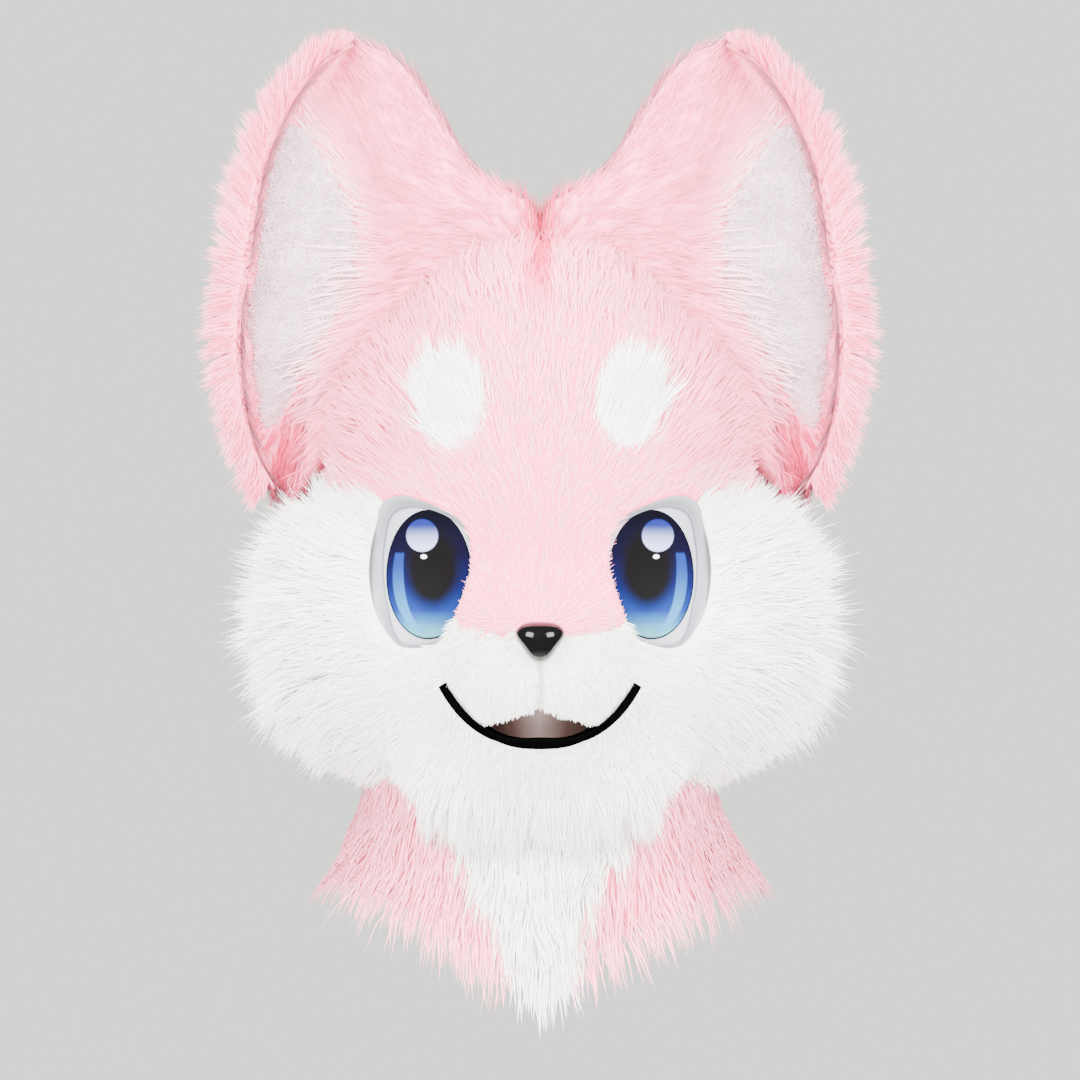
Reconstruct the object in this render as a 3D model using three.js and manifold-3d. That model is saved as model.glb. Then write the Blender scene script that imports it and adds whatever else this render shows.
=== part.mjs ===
// A furry animal head costume: a hollow foam base, faux fur panels with combed locks, big ears lined with plush,
// set-in eyes, a glossy nose, a black lip, a mouth lining, and a fur neck with a pointed bib.
// Millimetres, +Z up. The face looks along -Y, and the origin is the top of the hollow, on the wearer's crown.

import * as THREE from "three";
import { mergeVertices } from "three/addons/utils/BufferGeometryUtils.js";
import Module from "manifold-3d";

const wasm = await Module();
wasm.setup();

// Driving sizes of the foam base
const HEAD_WIDTH = 264;
const HEAD_DEPTH = 280;
const HEAD_HEIGHT = 324;
const CROWN_WALL = 12;
const FOOT_WALL = 11;
const BLEND = 22;

// Fur and the room between pieces
const PILE = 10;
const CLEARANCE = 0.5;
const FACET_ROOM = 0.8;
const WELD = 1e-4;

// How far below the origin the features lie, as shares of the head's height
const EYE_LEVEL = 0.599;
const BROW_LEVEL = 0.284;
const NOSE_LEVEL = 0.716;
const MOUTH_LEVEL = 0.7994;
const EAR_LEVEL = 0.432;

// Eyes, brow patches, nose and mouth, as seen from the front
const EYE_WIDE = 61;
const EYE_TALL = 87;
const EYE_ACROSS = 72;
const EYE_SINK = 8;
const EYE_PANEL = 2;
const EYE_RIM = 6;
const IRIS_WIDE = 57;
const IRIS_TALL = 81;
const IRIS_INWARD = 4;
const IRIS_FILM = 1;
const BROW_WIDE = 30;
const BROW_TALL = 48;
const BROW_ACROSS = 51;
const NOSE_WIDE = 27;
const NOSE_TALL = 21;
const NOSE_DEEP = 13;
const NOSE_SINK = 5;
const MOUTH_WIDE = 114;
const MOUTH_DROP = 39;
const LIP_CURVE = 2.7;
const LIP_THICK = 6.5;
const LIP_THIN = 1.5;
const LIP_DEEP = 7;
const LIP_PEAK = 12.5;
const LIP_LOBE = 0.6;
const LIP_LOBE_CURVE = 0.75;
const MOUTH_POCKET = 24;
const LINING = 1.5;

// Ears
const EAR_TALL = 300;
const EAR_REACH = 214;
const EAR_DEEP = 70;
const EAR_LEAN = 16;
const PLUSH = 4;

// Neck
const NECK_FLARE = 24;
const NECK_WALL = 9;
const NECK_SIDE_DROP = 66;
const NECK_POINT_DROP = 58;
const NECK_BACK_DROP = 18;

// Locks
const RUFF_LOCK = 54;
const RUFF_LOCK_WIDE = 32;
const TEMPLE_LOCK = 58;
const TEMPLE_LOCK_WIDE = 35;
const JAW_LOCK = 34;
const JAW_LOCK_WIDE = 29;
const HEM_LOCK = 34;
const RIM_LOCK = 26;
const RIM_LOCK_WIDE = 31;
const LOCK_FLATNESS = 0.55;

// Facets
const HEAD_COLUMNS = 24;
const HEAD_ROWS = 16;
const FACE_CROWDING_ANGLE = 20;
const PLATE_RINGS = 2;
const OUTLINE_STEPS = 18;
const MOUTH_STEPS = 16;
const NECK_COLUMNS = 28;

const EYE_BELOW_CROWN = EYE_LEVEL * HEAD_HEIGHT;
const BROW_BELOW_CROWN = BROW_LEVEL * HEAD_HEIGHT;
const NOSE_BELOW_CROWN = NOSE_LEVEL * HEAD_HEIGHT;
const MOUTH_BELOW_CROWN = MOUTH_LEVEL * HEAD_HEIGHT;
const EAR_BELOW_CROWN = EAR_LEVEL * HEAD_HEIGHT;

const SKULL_HEIGHT = CROWN_WALL - HEAD_HEIGHT / 2;
const BEYOND = 2 * (HEAD_WIDTH + HEAD_DEPTH);
const HEART = new THREE.Vector3(0, -0.04 * HEAD_DEPTH, SKULL_HEIGHT - 0.06 * HEAD_HEIGHT);

// Bulges that melt into one smooth head: places from the skull's centre and half sizes, as shares of the head's
const CHEEK = { side: 0.235, ahead: 0.11, up: -0.28, wide: 0.295, deep: 0.34, tall: 0.222 };
const FOOT = { side: 0, ahead: -0.03, up: -0.44, wide: 0.41, deep: 0.425, tall: 0.28 };
const BULGES = [
  { side: 0, ahead: 0, up: 0, wide: 0.5, deep: 0.5, tall: 0.5 },
  CHEEK,
  { ...CHEEK, side: -CHEEK.side },
  { side: 0, ahead: 0.45, up: -0.315, wide: 0.215, deep: 0.215, tall: 0.125 },
  { side: 0, ahead: 0.35, up: -0.425, wide: 0.2, deep: 0.2, tall: 0.1 },
  FOOT,
];

// The flat foot of the head, where the neck begins: its height, half width, half depth and how far back it lies
const FOOT_DROP = 0.52;
const FOOT_HEIGHT = SKULL_HEIGHT - FOOT_DROP * HEAD_HEIGHT;
const FOOT_CUT = Math.sqrt(1 - ((FOOT_DROP + FOOT.up) / FOOT.tall) ** 2);
const FOOT_WIDE = FOOT_CUT * FOOT.wide * HEAD_WIDTH;
const FOOT_DEEP = FOOT_CUT * FOOT.deep * HEAD_DEPTH;
const FOOT_BACK = -FOOT.ahead * HEAD_DEPTH;

const vec = (x, y, z) => new THREE.Vector3(x, y, z);
const mix = (a, b, share) => a + (b - a) * share;
const counted = (count, make) => Array.from({ length: count }, (unused, index) => make(index));

// How far a point lies outside the foam base's surface, negative inside.
function outside(x, y, z) {
  let nearest = Infinity;
  for (const b of BULGES) {
    const half = [b.wide * HEAD_WIDTH, b.deep * HEAD_DEPTH, b.tall * HEAD_HEIGHT];
    const from = [x - b.side * HEAD_WIDTH, y + b.ahead * HEAD_DEPTH, z - SKULL_HEIGHT - b.up * HEAD_HEIGHT];
    const scaled = Math.hypot(...from.map((d, i) => d / half[i]));
    const slope = Math.hypot(...from.map((d, i) => d / half[i] ** 2));
    const distance = slope > 0 ? (scaled * (scaled - 1)) / slope : -Math.min(...half);
    const melt = Math.max(BLEND - Math.abs(nearest - distance), 0) / BLEND;
    nearest = Math.min(nearest, distance) - (nearest < Infinity ? (melt * melt * BLEND) / 4 : 0);
  }
  return nearest;
}

// The point at which a line from one place to another leaves the layer that lies `layer` outside the base.
function leaves(from, to, layer) {
  let low = 0;
  let high = 1;
  const at = (share) => from.clone().lerp(to, share);
  for (let halving = 0; halving < 26; halving++) {
    const middle = (low + high) / 2;
    const p = at(middle);
    if (outside(p.x, p.y, p.z) < layer) low = middle;
    else high = middle;
  }
  return at(low);
}

// The point of a layer seen at a place in the front view. Under the base's surface, layers lie straight back.
function onFace(x, z, layer) {
  const surface = leaves(vec(x, HEART.y, z), vec(x, -BEYOND, z), Math.max(layer, 0));
  return surface.add(vec(0, Math.max(-layer, 0), 0));
}

// A direction: turn is 0 ahead and grows to the wearer's left, and tilt is up. Both are in degrees.
function heading(turn, tilt) {
  const a = THREE.MathUtils.degToRad(turn);
  const e = THREE.MathUtils.degToRad(tilt);
  return vec(Math.sin(a) * Math.cos(e), -Math.cos(a) * Math.cos(e), Math.sin(e));
}

// The point of a layer in a direction from the head's heart.
function onHead(turn, tilt, layer) {
  return leaves(HEART, HEART.clone().addScaledVector(heading(turn, tilt), BEYOND), layer);
}

// A closed solid from corner points, three to a triangle. It is turned round if its faces point inwards.
function solidOf(corners) {
  const raw = new THREE.BufferGeometry().setFromPoints(corners);
  const merged = mergeVertices(raw, WELD);
  const ids = merged.index.array;
  const triangles = [];
  let volume = 0;
  for (let i = 0; i < ids.length; i += 3) {
    const [a, b, c] = [ids[i], ids[i + 1], ids[i + 2]];
    if (a === b || b === c || c === a) continue;
    triangles.push([a, b, c]);
    volume += corners[i].dot(corners[i + 1].clone().cross(corners[i + 2]));
  }
  const facing = triangles.map(([a, b, c]) => (volume < 0 ? [a, c, b] : [a, b, c]));
  return new wasm.Manifold(
    new wasm.Mesh({
      numProp: 3,
      vertProperties: merged.attributes.position.array,
      triVerts: new Uint32Array(facing.flat()),
    }),
  );
}

// A solid between two grids of points, closed round its edges. A round grid joins its last column to its first.
function slab(front, back, round = false) {
  const corners = [];
  const quad = (a, b, c, d) => corners.push(a, b, c, a, c, d);
  const last = front.length - 1;
  const steps = front[0].length - 1;
  for (let i = 0; i < (round ? front.length : last); i++) {
    const k = (i + 1) % front.length;
    for (let j = 0; j < steps; j++) {
      quad(front[i][j], front[k][j], front[k][j + 1], front[i][j + 1]);
      quad(back[i][j], back[i][j + 1], back[k][j + 1], back[k][j]);
    }
    quad(front[i][steps], front[k][steps], back[k][steps], back[i][steps]);
    quad(front[i][0], back[i][0], back[k][0], front[k][0]);
  }
  for (let j = 0; j < steps && !round; j++) {
    quad(front[0][j], front[0][j + 1], back[0][j + 1], back[0][j]);
    quad(front[last][j], back[last][j], back[last][j + 1], front[last][j + 1]);
  }
  return solidOf(corners);
}

// A three.js geometry as a solid.
function solidFrom(geometry) {
  const plain = geometry.index ? geometry.toNonIndexed() : geometry;
  const position = plain.getAttribute("position");
  return solidOf(counted(position.count, (i) => new THREE.Vector3().fromBufferAttribute(position, i)));
}

// The whole head, filled, at a layer outside the base. Columns crowd together at the face.
function headAt(layer) {
  const corners = [];
  const points = counted(HEAD_COLUMNS, (i) => {
    const even = (360 * i) / HEAD_COLUMNS;
    const turn = even - FACE_CROWDING_ANGLE * Math.sin(THREE.MathUtils.degToRad(even));
    return counted(HEAD_ROWS + 1, (j) => onHead(turn, 90 - (180 * j) / HEAD_ROWS, layer));
  });
  points.forEach((column, i) => {
    const beside = points[(i + 1) % HEAD_COLUMNS];
    const left = i < HEAD_COLUMNS / 2;
    for (let j = 0; j < HEAD_ROWS; j++) {
      corners.push(column[j], column[j + 1], left ? beside[j + 1] : beside[j]);
      corners.push(beside[j + 1], beside[j], left ? column[j] : column[j + 1]);
    }
  });
  return solidOf(corners);
}

// An outline in the front view, pushed outwards by some millimetres. Its points run anticlockwise.
function grown(outline, by) {
  return outline.map((p, i) => {
    const before = outline.at(i - 1);
    const after = outline[(i + 1) % outline.length];
    const along = after.clone().sub(before).normalize();
    return new THREE.Vector2(p.x + along.y * by, p.y - along.x * by);
  });
}

// An outline drawn in towards its centre where it would leave another.
function keptIn(outline, centre, limit) {
  return outline.map((p) => {
    const ray = p.clone().sub(centre);
    const shares = limit.map((a, i) => {
      const edge = limit[(i + 1) % limit.length].clone().sub(a);
      const start = a.clone().sub(centre);
      const turn = ray.cross(edge);
      const along = start.cross(ray) / turn;
      const share = start.cross(edge) / turn;
      return along >= 0 && along <= 1 && share > 0 ? share : Infinity;
    });
    return centre.clone().addScaledVector(ray, Math.min(1, ...shares));
  });
}

// A straight cutter with an outline in the front view, from a depth towards the viewer.
function prism(outline, depth = BEYOND) {
  const shape = new THREE.Shape(outline);
  const bar = new THREE.ExtrudeGeometry(shape, { depth: 2 * BEYOND, bevelEnabled: false });
  return solidFrom(bar.rotateX(Math.PI / 2).translate(0, depth, 0));
}

// A plate that follows the face, with an outline in the front view, from one layer to another.
function facePlate(outline, middle, low, high) {
  const sheet = (layer) =>
    outline.map((p) =>
      counted(PLATE_RINGS + 1, (j) => {
        const q = middle.clone().lerp(p, j / PLATE_RINGS);
        return onFace(q.x, q.y, layer);
      }),
    );
  return slab(sheet(high), sheet(low), true);
}

// A strip that follows the face, between two heights at each station across it, from one layer to another.
function faceStrip(stations, under, over, low, high) {
  const sheet = (layer) => stations.map((x) => [onFace(x, under(x), layer), onFace(x, over(x), layer)]);
  return slab(sheet(high), sheet(low));
}

// One combed lock: a flat tapering tuft that leaves its root one way and falls towards another.
function lock(root, away, fall, length, width) {
  const SIDES = 4;
  const RINGS = [
    { along: 0, wide: 1 },
    { along: 0.55, wide: 0.8 },
  ];
  const start = away.clone().normalize();
  const end = fall.clone().normalize();
  const place = (along) =>
    root
      .clone()
      .addScaledVector(start, length * (along - (along * along) / 2))
      .addScaledVector(end, (length * along * along) / 2);
  const broad = start.clone().cross(end);
  if (broad.length() < 0.05) broad.copy(start).cross(vec(0.3, 1, 0.2));
  broad.normalize();
  const thin = broad.clone().cross(start.clone().add(end)).normalize();
  const rings = RINGS.map(({ along, wide }) =>
    counted(SIDES, (k) => {
      const a = (2 * Math.PI * k) / SIDES;
      return place(along)
        .addScaledVector(broad, (Math.cos(a) * width * wide) / 2)
        .addScaledVector(thin, (Math.sin(a) * width * wide * LOCK_FLATNESS) / 2);
    }),
  );
  const tip = place(1);
  const corners = [];
  for (let k = 0; k < SIDES; k++) {
    const n = (k + 1) % SIDES;
    corners.push(root, rings[0][n], rings[0][k]);
    for (let r = 0; r + 1 < rings.length; r++) {
      corners.push(rings[r][k], rings[r][n], rings[r + 1][n], rings[r][k], rings[r + 1][n], rings[r + 1][k]);
    }
    corners.push(rings.at(-1)[k], rings.at(-1)[n], tip);
  }
  return solidOf(corners);
}

const joined = (solids) => wasm.Manifold.union(solids);
const flipped = (solid) => solid.mirror([1, 0, 0]);
const paired = (solid) => joined([solid, flipped(solid)]);

// A solid without the loose slivers that its cuts leave.
const whole = (solid) => solid.decompose().sort((a, b) => b.volume() - a.volume())[0];

const place2 = (x, z) => new THREE.Vector2(x, z);

// A left-right symmetrical outline from the points of its one side, listed anticlockwise from the bottom.
const bothSides = (points) => [...points, ...points.map((p) => place2(-p.x, p.y)).reverse()];

// An oval outline in the front view.
const oval = (centre, wide, tall, steps) =>
  counted(steps, (i) => {
    const a = (2 * Math.PI * i) / steps;
    return place2(centre.x + (wide / 2) * Math.cos(a), centre.y + (tall / 2) * Math.sin(a));
  });

// A smooth closed outline through a few points, given as shares of its half width and half height.
function roundOutline(points, wide, tall, centre, count) {
  const places = points.map(([across, up]) => vec(centre.x + (across * wide) / 2, centre.y + (up * tall) / 2, 0));
  const curve = new THREE.CatmullRomCurve3(places, true, "centripetal");
  return curve
    .getSpacedPoints(count)
    .slice(0, count)
    .map((p) => new THREE.Vector2(p.x, p.y));
}

// The eye opening: squarer towards the temple, rounder towards the nose. Anticlockwise, for the wearer's left.
const EYE_SHAPE = [
  [0.98, 0],
  [0.92, 0.52],
  [0.66, 0.96],
  [-0.2, 0.97],
  [-0.84, 0.7],
  [-1, 0.2],
  [-0.78, -0.38],
  [-0.4, -0.92],
  [0.42, -1],
  [0.8, -0.56],
];
const EYE_CENTRE = place2(EYE_ACROSS, -EYE_BELOW_CROWN);
const SIGHT_CENTRE = place2(EYE_ACROSS - EYE_RIM / 3, -EYE_BELOW_CROWN);
const eyeShape = (centre, trim) =>
  roundOutline(EYE_SHAPE, EYE_WIDE - 2 * trim, EYE_TALL - 2 * trim, centre, OUTLINE_STEPS);
const eyeOutline = (trim) => eyeShape(EYE_CENTRE, trim);
const sightOutline = (trim) => eyeShape(SIGHT_CENTRE, EYE_RIM + trim);
const ON_PANEL = EYE_PANEL + 2 * CLEARANCE + FACET_ROOM - EYE_SINK;

// The eye opening through the fur and foam, with a ledge that the eye panel lies on.
function eyeHole() {
  const pocket = facePlate(grown(eyeOutline(0), CLEARANCE), EYE_CENTRE, -EYE_SINK, 3 * PILE);
  const sight = facePlate(sightOutline(0), SIGHT_CENTRE, -HEAD_WIDTH / 4, 0);
  return pocket.add(sight);
}

function eyePanel() {
  const seat = CLEARANCE - EYE_SINK;
  return facePlate(eyeOutline(CLEARANCE), EYE_CENTRE, seat, seat + EYE_PANEL);
}

// A sloping ring round the eye, deep at the temple, that hides the panel's edge.
function eyeRim() {
  const RIM_BELOW_PILE = 2;
  const outer = eyeOutline(CLEARANCE);
  const inner = sightOutline(0);
  const ring = (low, high) => outer.map((p, i) => [onFace(inner[i].x, inner[i].y, low), onFace(p.x, p.y, high)]);
  return slab(ring(ON_PANEL + EYE_PANEL, PILE - RIM_BELOW_PILE), ring(ON_PANEL, ON_PANEL), true);
}

// The printed iris, a thin film on the eye panel.
function eyeIris() {
  const centre = place2(EYE_ACROSS - IRIS_INWARD, -EYE_BELOW_CROWN);
  const outline = keptIn(oval(centre, IRIS_WIDE, IRIS_TALL, OUTLINE_STEPS), centre, sightOutline(CLEARANCE));
  return facePlate(outline, centre, ON_PANEL, ON_PANEL + IRIS_FILM);
}

// The mouth's edges, at a share of its half width across. Heights are from the origin.
const MOUTH_CORNER = -MOUTH_BELOW_CROWN;
const lipUnder = (x) => {
  const share = Math.abs(x) / (MOUTH_WIDE / 2);
  return MOUTH_CORNER - MOUTH_DROP * (1 - share ** LIP_CURVE);
};
const lipOver = (x) => {
  const share = Math.abs(x) / (MOUTH_WIDE / 2);
  return lipUnder(x) + mix(LIP_THICK, LIP_THIN, share * share);
};
const muzzleEdge = (x) => {
  const share = Math.abs(x) / (MOUTH_WIDE / 2);
  if (share >= LIP_LOBE) return lipOver(x) + CLEARANCE;
  const lobe = lipOver((LIP_LOBE * MOUTH_WIDE) / 2) + CLEARANCE;
  return mix(MOUTH_CORNER - LIP_PEAK, lobe, (share / LIP_LOBE) ** LIP_LOBE_CURVE);
};
const mouthStations = (trim) => {
  const half = MOUTH_WIDE / 2 - trim;
  return counted(MOUTH_STEPS + 1, (i) => -half * Math.cos((Math.PI * i) / MOUTH_STEPS));
};

function mouthHole() {
  const under = (x) => lipUnder(x) - CLEARANCE;
  return faceStrip(mouthStations(0), under, muzzleEdge, -MOUTH_POCKET, 3 * PILE);
}

function mouthLip() {
  const LIP_BELOW_PILE = 1;
  const front = PILE - LIP_BELOW_PILE;
  return faceStrip(mouthStations(CLEARANCE), lipUnder, lipOver, front - LIP_DEEP, front);
}

function mouthLining() {
  const EDGE = 2;
  const over = (x) => muzzleEdge(x) - 2 * CLEARANCE;
  const deep = CLEARANCE + FACET_ROOM - MOUTH_POCKET;
  const under = (x) => lipUnder(x) + CLEARANCE;
  return faceStrip(mouthStations(EDGE), under, over, deep, deep + LINING);
}

// The rounded three-cornered nose, broad at its top, on a flat seat sunk in the muzzle fur.
const NOSE_SHAPE = [
  [1, 0.42],
  [0.72, 0.86],
  [0, 1],
  [-0.72, 0.86],
  [-1, 0.42],
  [-0.62, -0.42],
  [0, -1],
  [0.62, -0.42],
];
const NOSE_CENTRE = place2(0, -NOSE_BELOW_CROWN);
const noseOutline = () => roundOutline(NOSE_SHAPE, NOSE_WIDE, NOSE_TALL, NOSE_CENTRE, OUTLINE_STEPS);
const foamUnderNose = Math.min(...noseOutline().map((p) => onFace(p.x, p.y, 0).y));
const NOSE_SEAT = Math.min(onFace(0, NOSE_CENTRE.y, PILE).y + NOSE_SINK, foamUnderNose - CLEARANCE);

function nose() {
  const RINGS = 3;
  const sheet = (depth) =>
    noseOutline().map((p) =>
      counted(RINGS + 1, (j) => {
        const share = Math.sin((Math.PI / 2) * (j / RINGS));
        const q = NOSE_CENTRE.clone().lerp(p, share);
        return vec(q.x, NOSE_SEAT - CLEARANCE - depth * Math.sqrt(Math.max(0, 1 - share * share)), q.y);
      }),
    );
  return slab(sheet(NOSE_DEEP), sheet(0), true);
}

// Where the white mask ends and the pink begins, behind the eye, as shares of the eye's sizes from its centre.
const MASK_LINE = [
  { across: 0.46, up: 0.55 },
  { across: -0.15, up: 0.06 },
  { across: -0.38, up: -0.36 },
];
// The seams of muzzle and chin, as shares of the mouth's half width from the mouth's middle and its corner's height.
const MUZZLE_SEAM = [
  { across: 1.07, up: 0.26 },
  { across: 0.93, up: 0.78 },
];
const CHIN_SEAM = [
  { across: 1.39, up: -2.07 },
  { across: 1.16, up: -0.47 },
];
const CHIN_TOP = { across: 0.46, up: 0.21 };
const MASK_BACK = 0.1 * HEAD_DEPTH;

const byEye = ({ across, up }) => place2(EYE_ACROSS + across * EYE_WIDE, up * EYE_TALL - EYE_BELOW_CROWN);
const byMouth = ({ across, up }) => place2((across * MOUTH_WIDE) / 2, MOUTH_CORNER + (up * MOUTH_WIDE) / 2);
const mouthSide = mouthStations(0)
  .filter((x) => x > 0)
  .map((x) => place2(x, (lipUnder(x) + lipOver(x)) / 2));

const maskOutline = bothSides([
  place2(BEYOND, -BEYOND),
  place2(BEYOND, byEye(MASK_LINE[0]).y),
  ...MASK_LINE.map(byEye),
  place2(NOSE_WIDE, NOSE_CENTRE.y),
]);
const muzzleOutline = bothSides([...mouthSide, ...MUZZLE_SEAM.map(byMouth)]);
const chinOutline = bothSides([...CHIN_SEAM.map(byMouth), mouthSide.at(-1), byMouth(CHIN_TOP)]);
const browOutline = oval(place2(BROW_ACROSS, -BROW_BELOW_CROWN), BROW_WIDE, BROW_TALL, OUTLINE_STEPS - 6);

// Full places in the fur: their centres from the skull's and their half sizes, as shares of the head's sizes.
const RUFF = { side: 0.42, ahead: 0.03, up: -0.235, wide: 0.225, deep: 0.26, tall: 0.29 };
const JAW = { side: 0, ahead: 0.37, up: -0.515, wide: 0.34, deep: 0.14, tall: 0.11 };

function fullPoint(full, ray, extra) {
  const wide = full.wide * HEAD_WIDTH + extra;
  const deep = full.deep * HEAD_DEPTH + extra;
  const tall = full.tall * HEAD_HEIGHT + extra;
  const centre = vec(full.side * HEAD_WIDTH, -full.ahead * HEAD_DEPTH, SKULL_HEIGHT + full.up * HEAD_HEIGHT);
  return centre.add(vec(wide * ray.x, deep * ray.y, tall * ray.z));
}

function fullness(full, extra) {
  const ball = new THREE.SphereGeometry(1, 14, 8).rotateX(Math.PI / 2).toNonIndexed();
  const position = ball.getAttribute("position");
  const at = (i) => new THREE.Vector3().fromBufferAttribute(position, i);
  return solidOf(counted(position.count, (i) => fullPoint(full, at(i), extra)));
}

// The cheek ruff, for the wearer's left: arcs of locks down the side of the head, each turning from out to down.
const RUFF_ARCS = [
  { turn: 52, top: 50, bottom: -50, count: 4 },
  { turn: 86, top: 66, bottom: -56, count: 7 },
  { turn: 124, top: 46, bottom: -46, count: 4 },
];
// The tilts in degrees at which locks leave their roots and fall, from the top of the ruff to its bottom.
const RUFF_COMB = { leavesTop: 10, leavesBottom: -36, fallsTop: -4, fallsBottom: -86, lowestLock: 0.7 };
// How deep locks are rooted in the full fur, and how much shorter every other lock is.
const LOCK_ROOT = 0.85;
const SHORTER_LOCK = 0.86;

function ruff(extra) {
  const locks = RUFF_ARCS.flatMap(({ turn, top, bottom, count }) =>
    counted(count, (i) => {
      const share = i / (count - 1);
      const tilt = mix(top, bottom, share);
      const root = fullPoint(RUFF, heading(turn, tilt).multiplyScalar(LOCK_ROOT), 0);
      const out = heading(turn, mix(RUFF_COMB.leavesTop, RUFF_COMB.leavesBottom, share));
      const fall = heading(turn, mix(RUFF_COMB.fallsTop, RUFF_COMB.fallsBottom, share));
      const length = RUFF_LOCK * (i % 2 ? 1 : SHORTER_LOCK) * mix(1, RUFF_COMB.lowestLock, share);
      return lock(root, out, fall, length + extra, RUFF_LOCK_WIDE + 2 * extra);
    }),
  );
  return joined([fullness(RUFF, extra), ...locks]);
}

// The full fur under the jaw, and the locks that hang from it over the neck. Angles are in degrees.
const JAW_COMB = { count: 6, spread: 70, rooted: -20, leaves: -50, falls: -80 };

function jaw(extra) {
  const locks = counted(JAW_COMB.count, (i) => {
    const turn = mix(-JAW_COMB.spread, JAW_COMB.spread, i / (JAW_COMB.count - 1));
    const root = fullPoint(JAW, heading(turn, JAW_COMB.rooted).multiplyScalar(LOCK_ROOT), 0);
    const length = JAW_LOCK * (i % 2 ? 1 : SHORTER_LOCK);
    const width = JAW_LOCK_WIDE + 2 * extra;
    return lock(root, heading(turn, JAW_COMB.leaves), heading(turn, JAW_COMB.falls), length + extra, width);
  });
  return joined([fullness(JAW, extra), ...locks]);
}

// Tufts that sweep up and out from the temple, for the wearer's left, in front of the ear. Angles are in degrees.
const TEMPLE_COMB = { count: 4, lowest: 2, highest: 44, rooted: 70, leaves: 72, falls: 80, lift: 4, sweep: 30 };

function temple(extra) {
  const { count, lowest, highest, rooted, leaves, falls, lift, sweep } = TEMPLE_COMB;
  const locks = counted(count, (i) => {
    const tilt = mix(lowest, highest, i / (count - 1));
    const width = TEMPLE_LOCK_WIDE + 2 * extra;
    const root = onHead(rooted, tilt, 0);
    return lock(root, heading(leaves, tilt + lift), heading(falls, tilt + sweep), TEMPLE_LOCK + extra, width);
  });
  return joined(locks);
}

// The ear's cross-section, from its inner edge to its outer: shares of the ear's depth, ahead to behind.
const EAR_PROFILE = [
  { across: 0, front: 0.02, back: 0.12 },
  { across: 0.07, front: -0.22, back: 0.4 },
  { across: 0.3, front: -0.28, back: 0.66 },
  { across: 0.56, front: 0.06, back: 0.76 },
  { across: 0.72, front: 0.24, back: 0.76 },
  { across: 0.88, front: 0.12, back: 0.64 },
  { across: 0.91, front: -0.26, back: 0.5 },
  { across: 0.96, front: -0.36, back: 0.24 },
  { across: 1, front: -0.1, back: -0.04 },
];
// The ear's edges from its foot to its tip, as shares of its height and of its reach from the middle.
const EAR_ROWS = [
  { up: 0, inner: 0.66, outer: 0.86, deep: 0.55 },
  { up: 0.1, inner: 0.54, outer: 0.935, deep: 0.8 },
  { up: 0.22, inner: 0.4, outer: 0.98, deep: 1 },
  { up: 0.38, inner: 0.18, outer: 1, deep: 1 },
  { up: 0.5, inner: 0.014, outer: 0.985, deep: 1 },
  { up: 0.6, inner: 0.014, outer: 0.965, deep: 1 },
  { up: 0.68, inner: 0.115, outer: 0.94, deep: 0.94 },
  { up: 0.77, inner: 0.195, outer: 0.9, deep: 0.84 },
  { up: 0.86, inner: 0.275, outer: 0.835, deep: 0.7 },
  { up: 0.93, inner: 0.34, outer: 0.76, deep: 0.54 },
  { up: 0.975, inner: 0.41, outer: 0.685, deep: 0.36 },
  { up: 1, inner: 0.5, outer: 0.62, deep: 0.18 },
];
// The plush's outline, up its outer edge and down its inner one, as shares of the ear's reach and height.
const PLUSH_OUTLINE = [
  { across: 0.83, up: 0.14 },
  { across: 0.872, up: 0.26 },
  { across: 0.89, up: 0.42 },
  { across: 0.87, up: 0.58 },
  { across: 0.83, up: 0.7 },
  { across: 0.765, up: 0.8 },
  { across: 0.68, up: 0.73 },
  { across: 0.575, up: 0.6 },
  { across: 0.58, up: 0.46 },
  { across: 0.68, up: 0.32 },
];

function earPoint(row, across, depth) {
  const x = mix(row.inner, row.outer, across) * EAR_REACH;
  return vec(x, depth * row.deep * EAR_DEEP + row.up * EAR_LEAN, row.up * EAR_TALL - EAR_BELOW_CROWN);
}

// The ear, for the wearer's left.
function ear() {
  const sheet = (face) => EAR_PROFILE.map((p) => EAR_ROWS.map((row) => earPoint(row, p.across, p[face])));
  return slab(sheet("front"), sheet("back"));
}

// The plush follows the ear's cup.
function earPlush() {
  const columns = EAR_PROFILE.slice(2, 6);
  const rows = EAR_ROWS.slice(1, 10);
  const sheet = (ahead) =>
    columns.map((p) => rows.map((row) => earPoint(row, p.across, p.front).add(vec(0, -ahead, 0))));
  const outline = PLUSH_OUTLINE.map((p) => place2(p.across * EAR_REACH, p.up * EAR_TALL - EAR_BELOW_CROWN));
  return slab(sheet(CLEARANCE + PLUSH), sheet(CLEARANCE)).intersect(prism(outline));
}

// Locks along the ear's outer rim and round its tip: how far up they point from the ear's foot to its tip.
const RIM_COMB = { count: 8, across: 0.95, leavesLow: -0.7, leavesHigh: 0.9, fallsLow: -0.9, fallsHigh: 0.7 };
const RIM_AHEAD = 0.1;
const RIM_BEHIND = 0.2;

function rimLocks() {
  const edge = new THREE.CatmullRomCurve3(EAR_ROWS.slice(0, -1).map((row) => earPoint(row, RIM_COMB.across, 0)));
  const locks = counted(RIM_COMB.count, (i) => {
    const share = (i + 0.5) / RIM_COMB.count;
    const out = vec(1, -RIM_AHEAD, mix(RIM_COMB.leavesLow, RIM_COMB.leavesHigh, share));
    const fall = vec(1, RIM_BEHIND, mix(RIM_COMB.fallsLow, RIM_COMB.fallsHigh, share));
    return lock(edge.getPointAt(share), out, fall, RIM_LOCK * (i % 2 ? 1 : SHORTER_LOCK), RIM_LOCK_WIDE);
  });
  return joined(locks);
}

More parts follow.
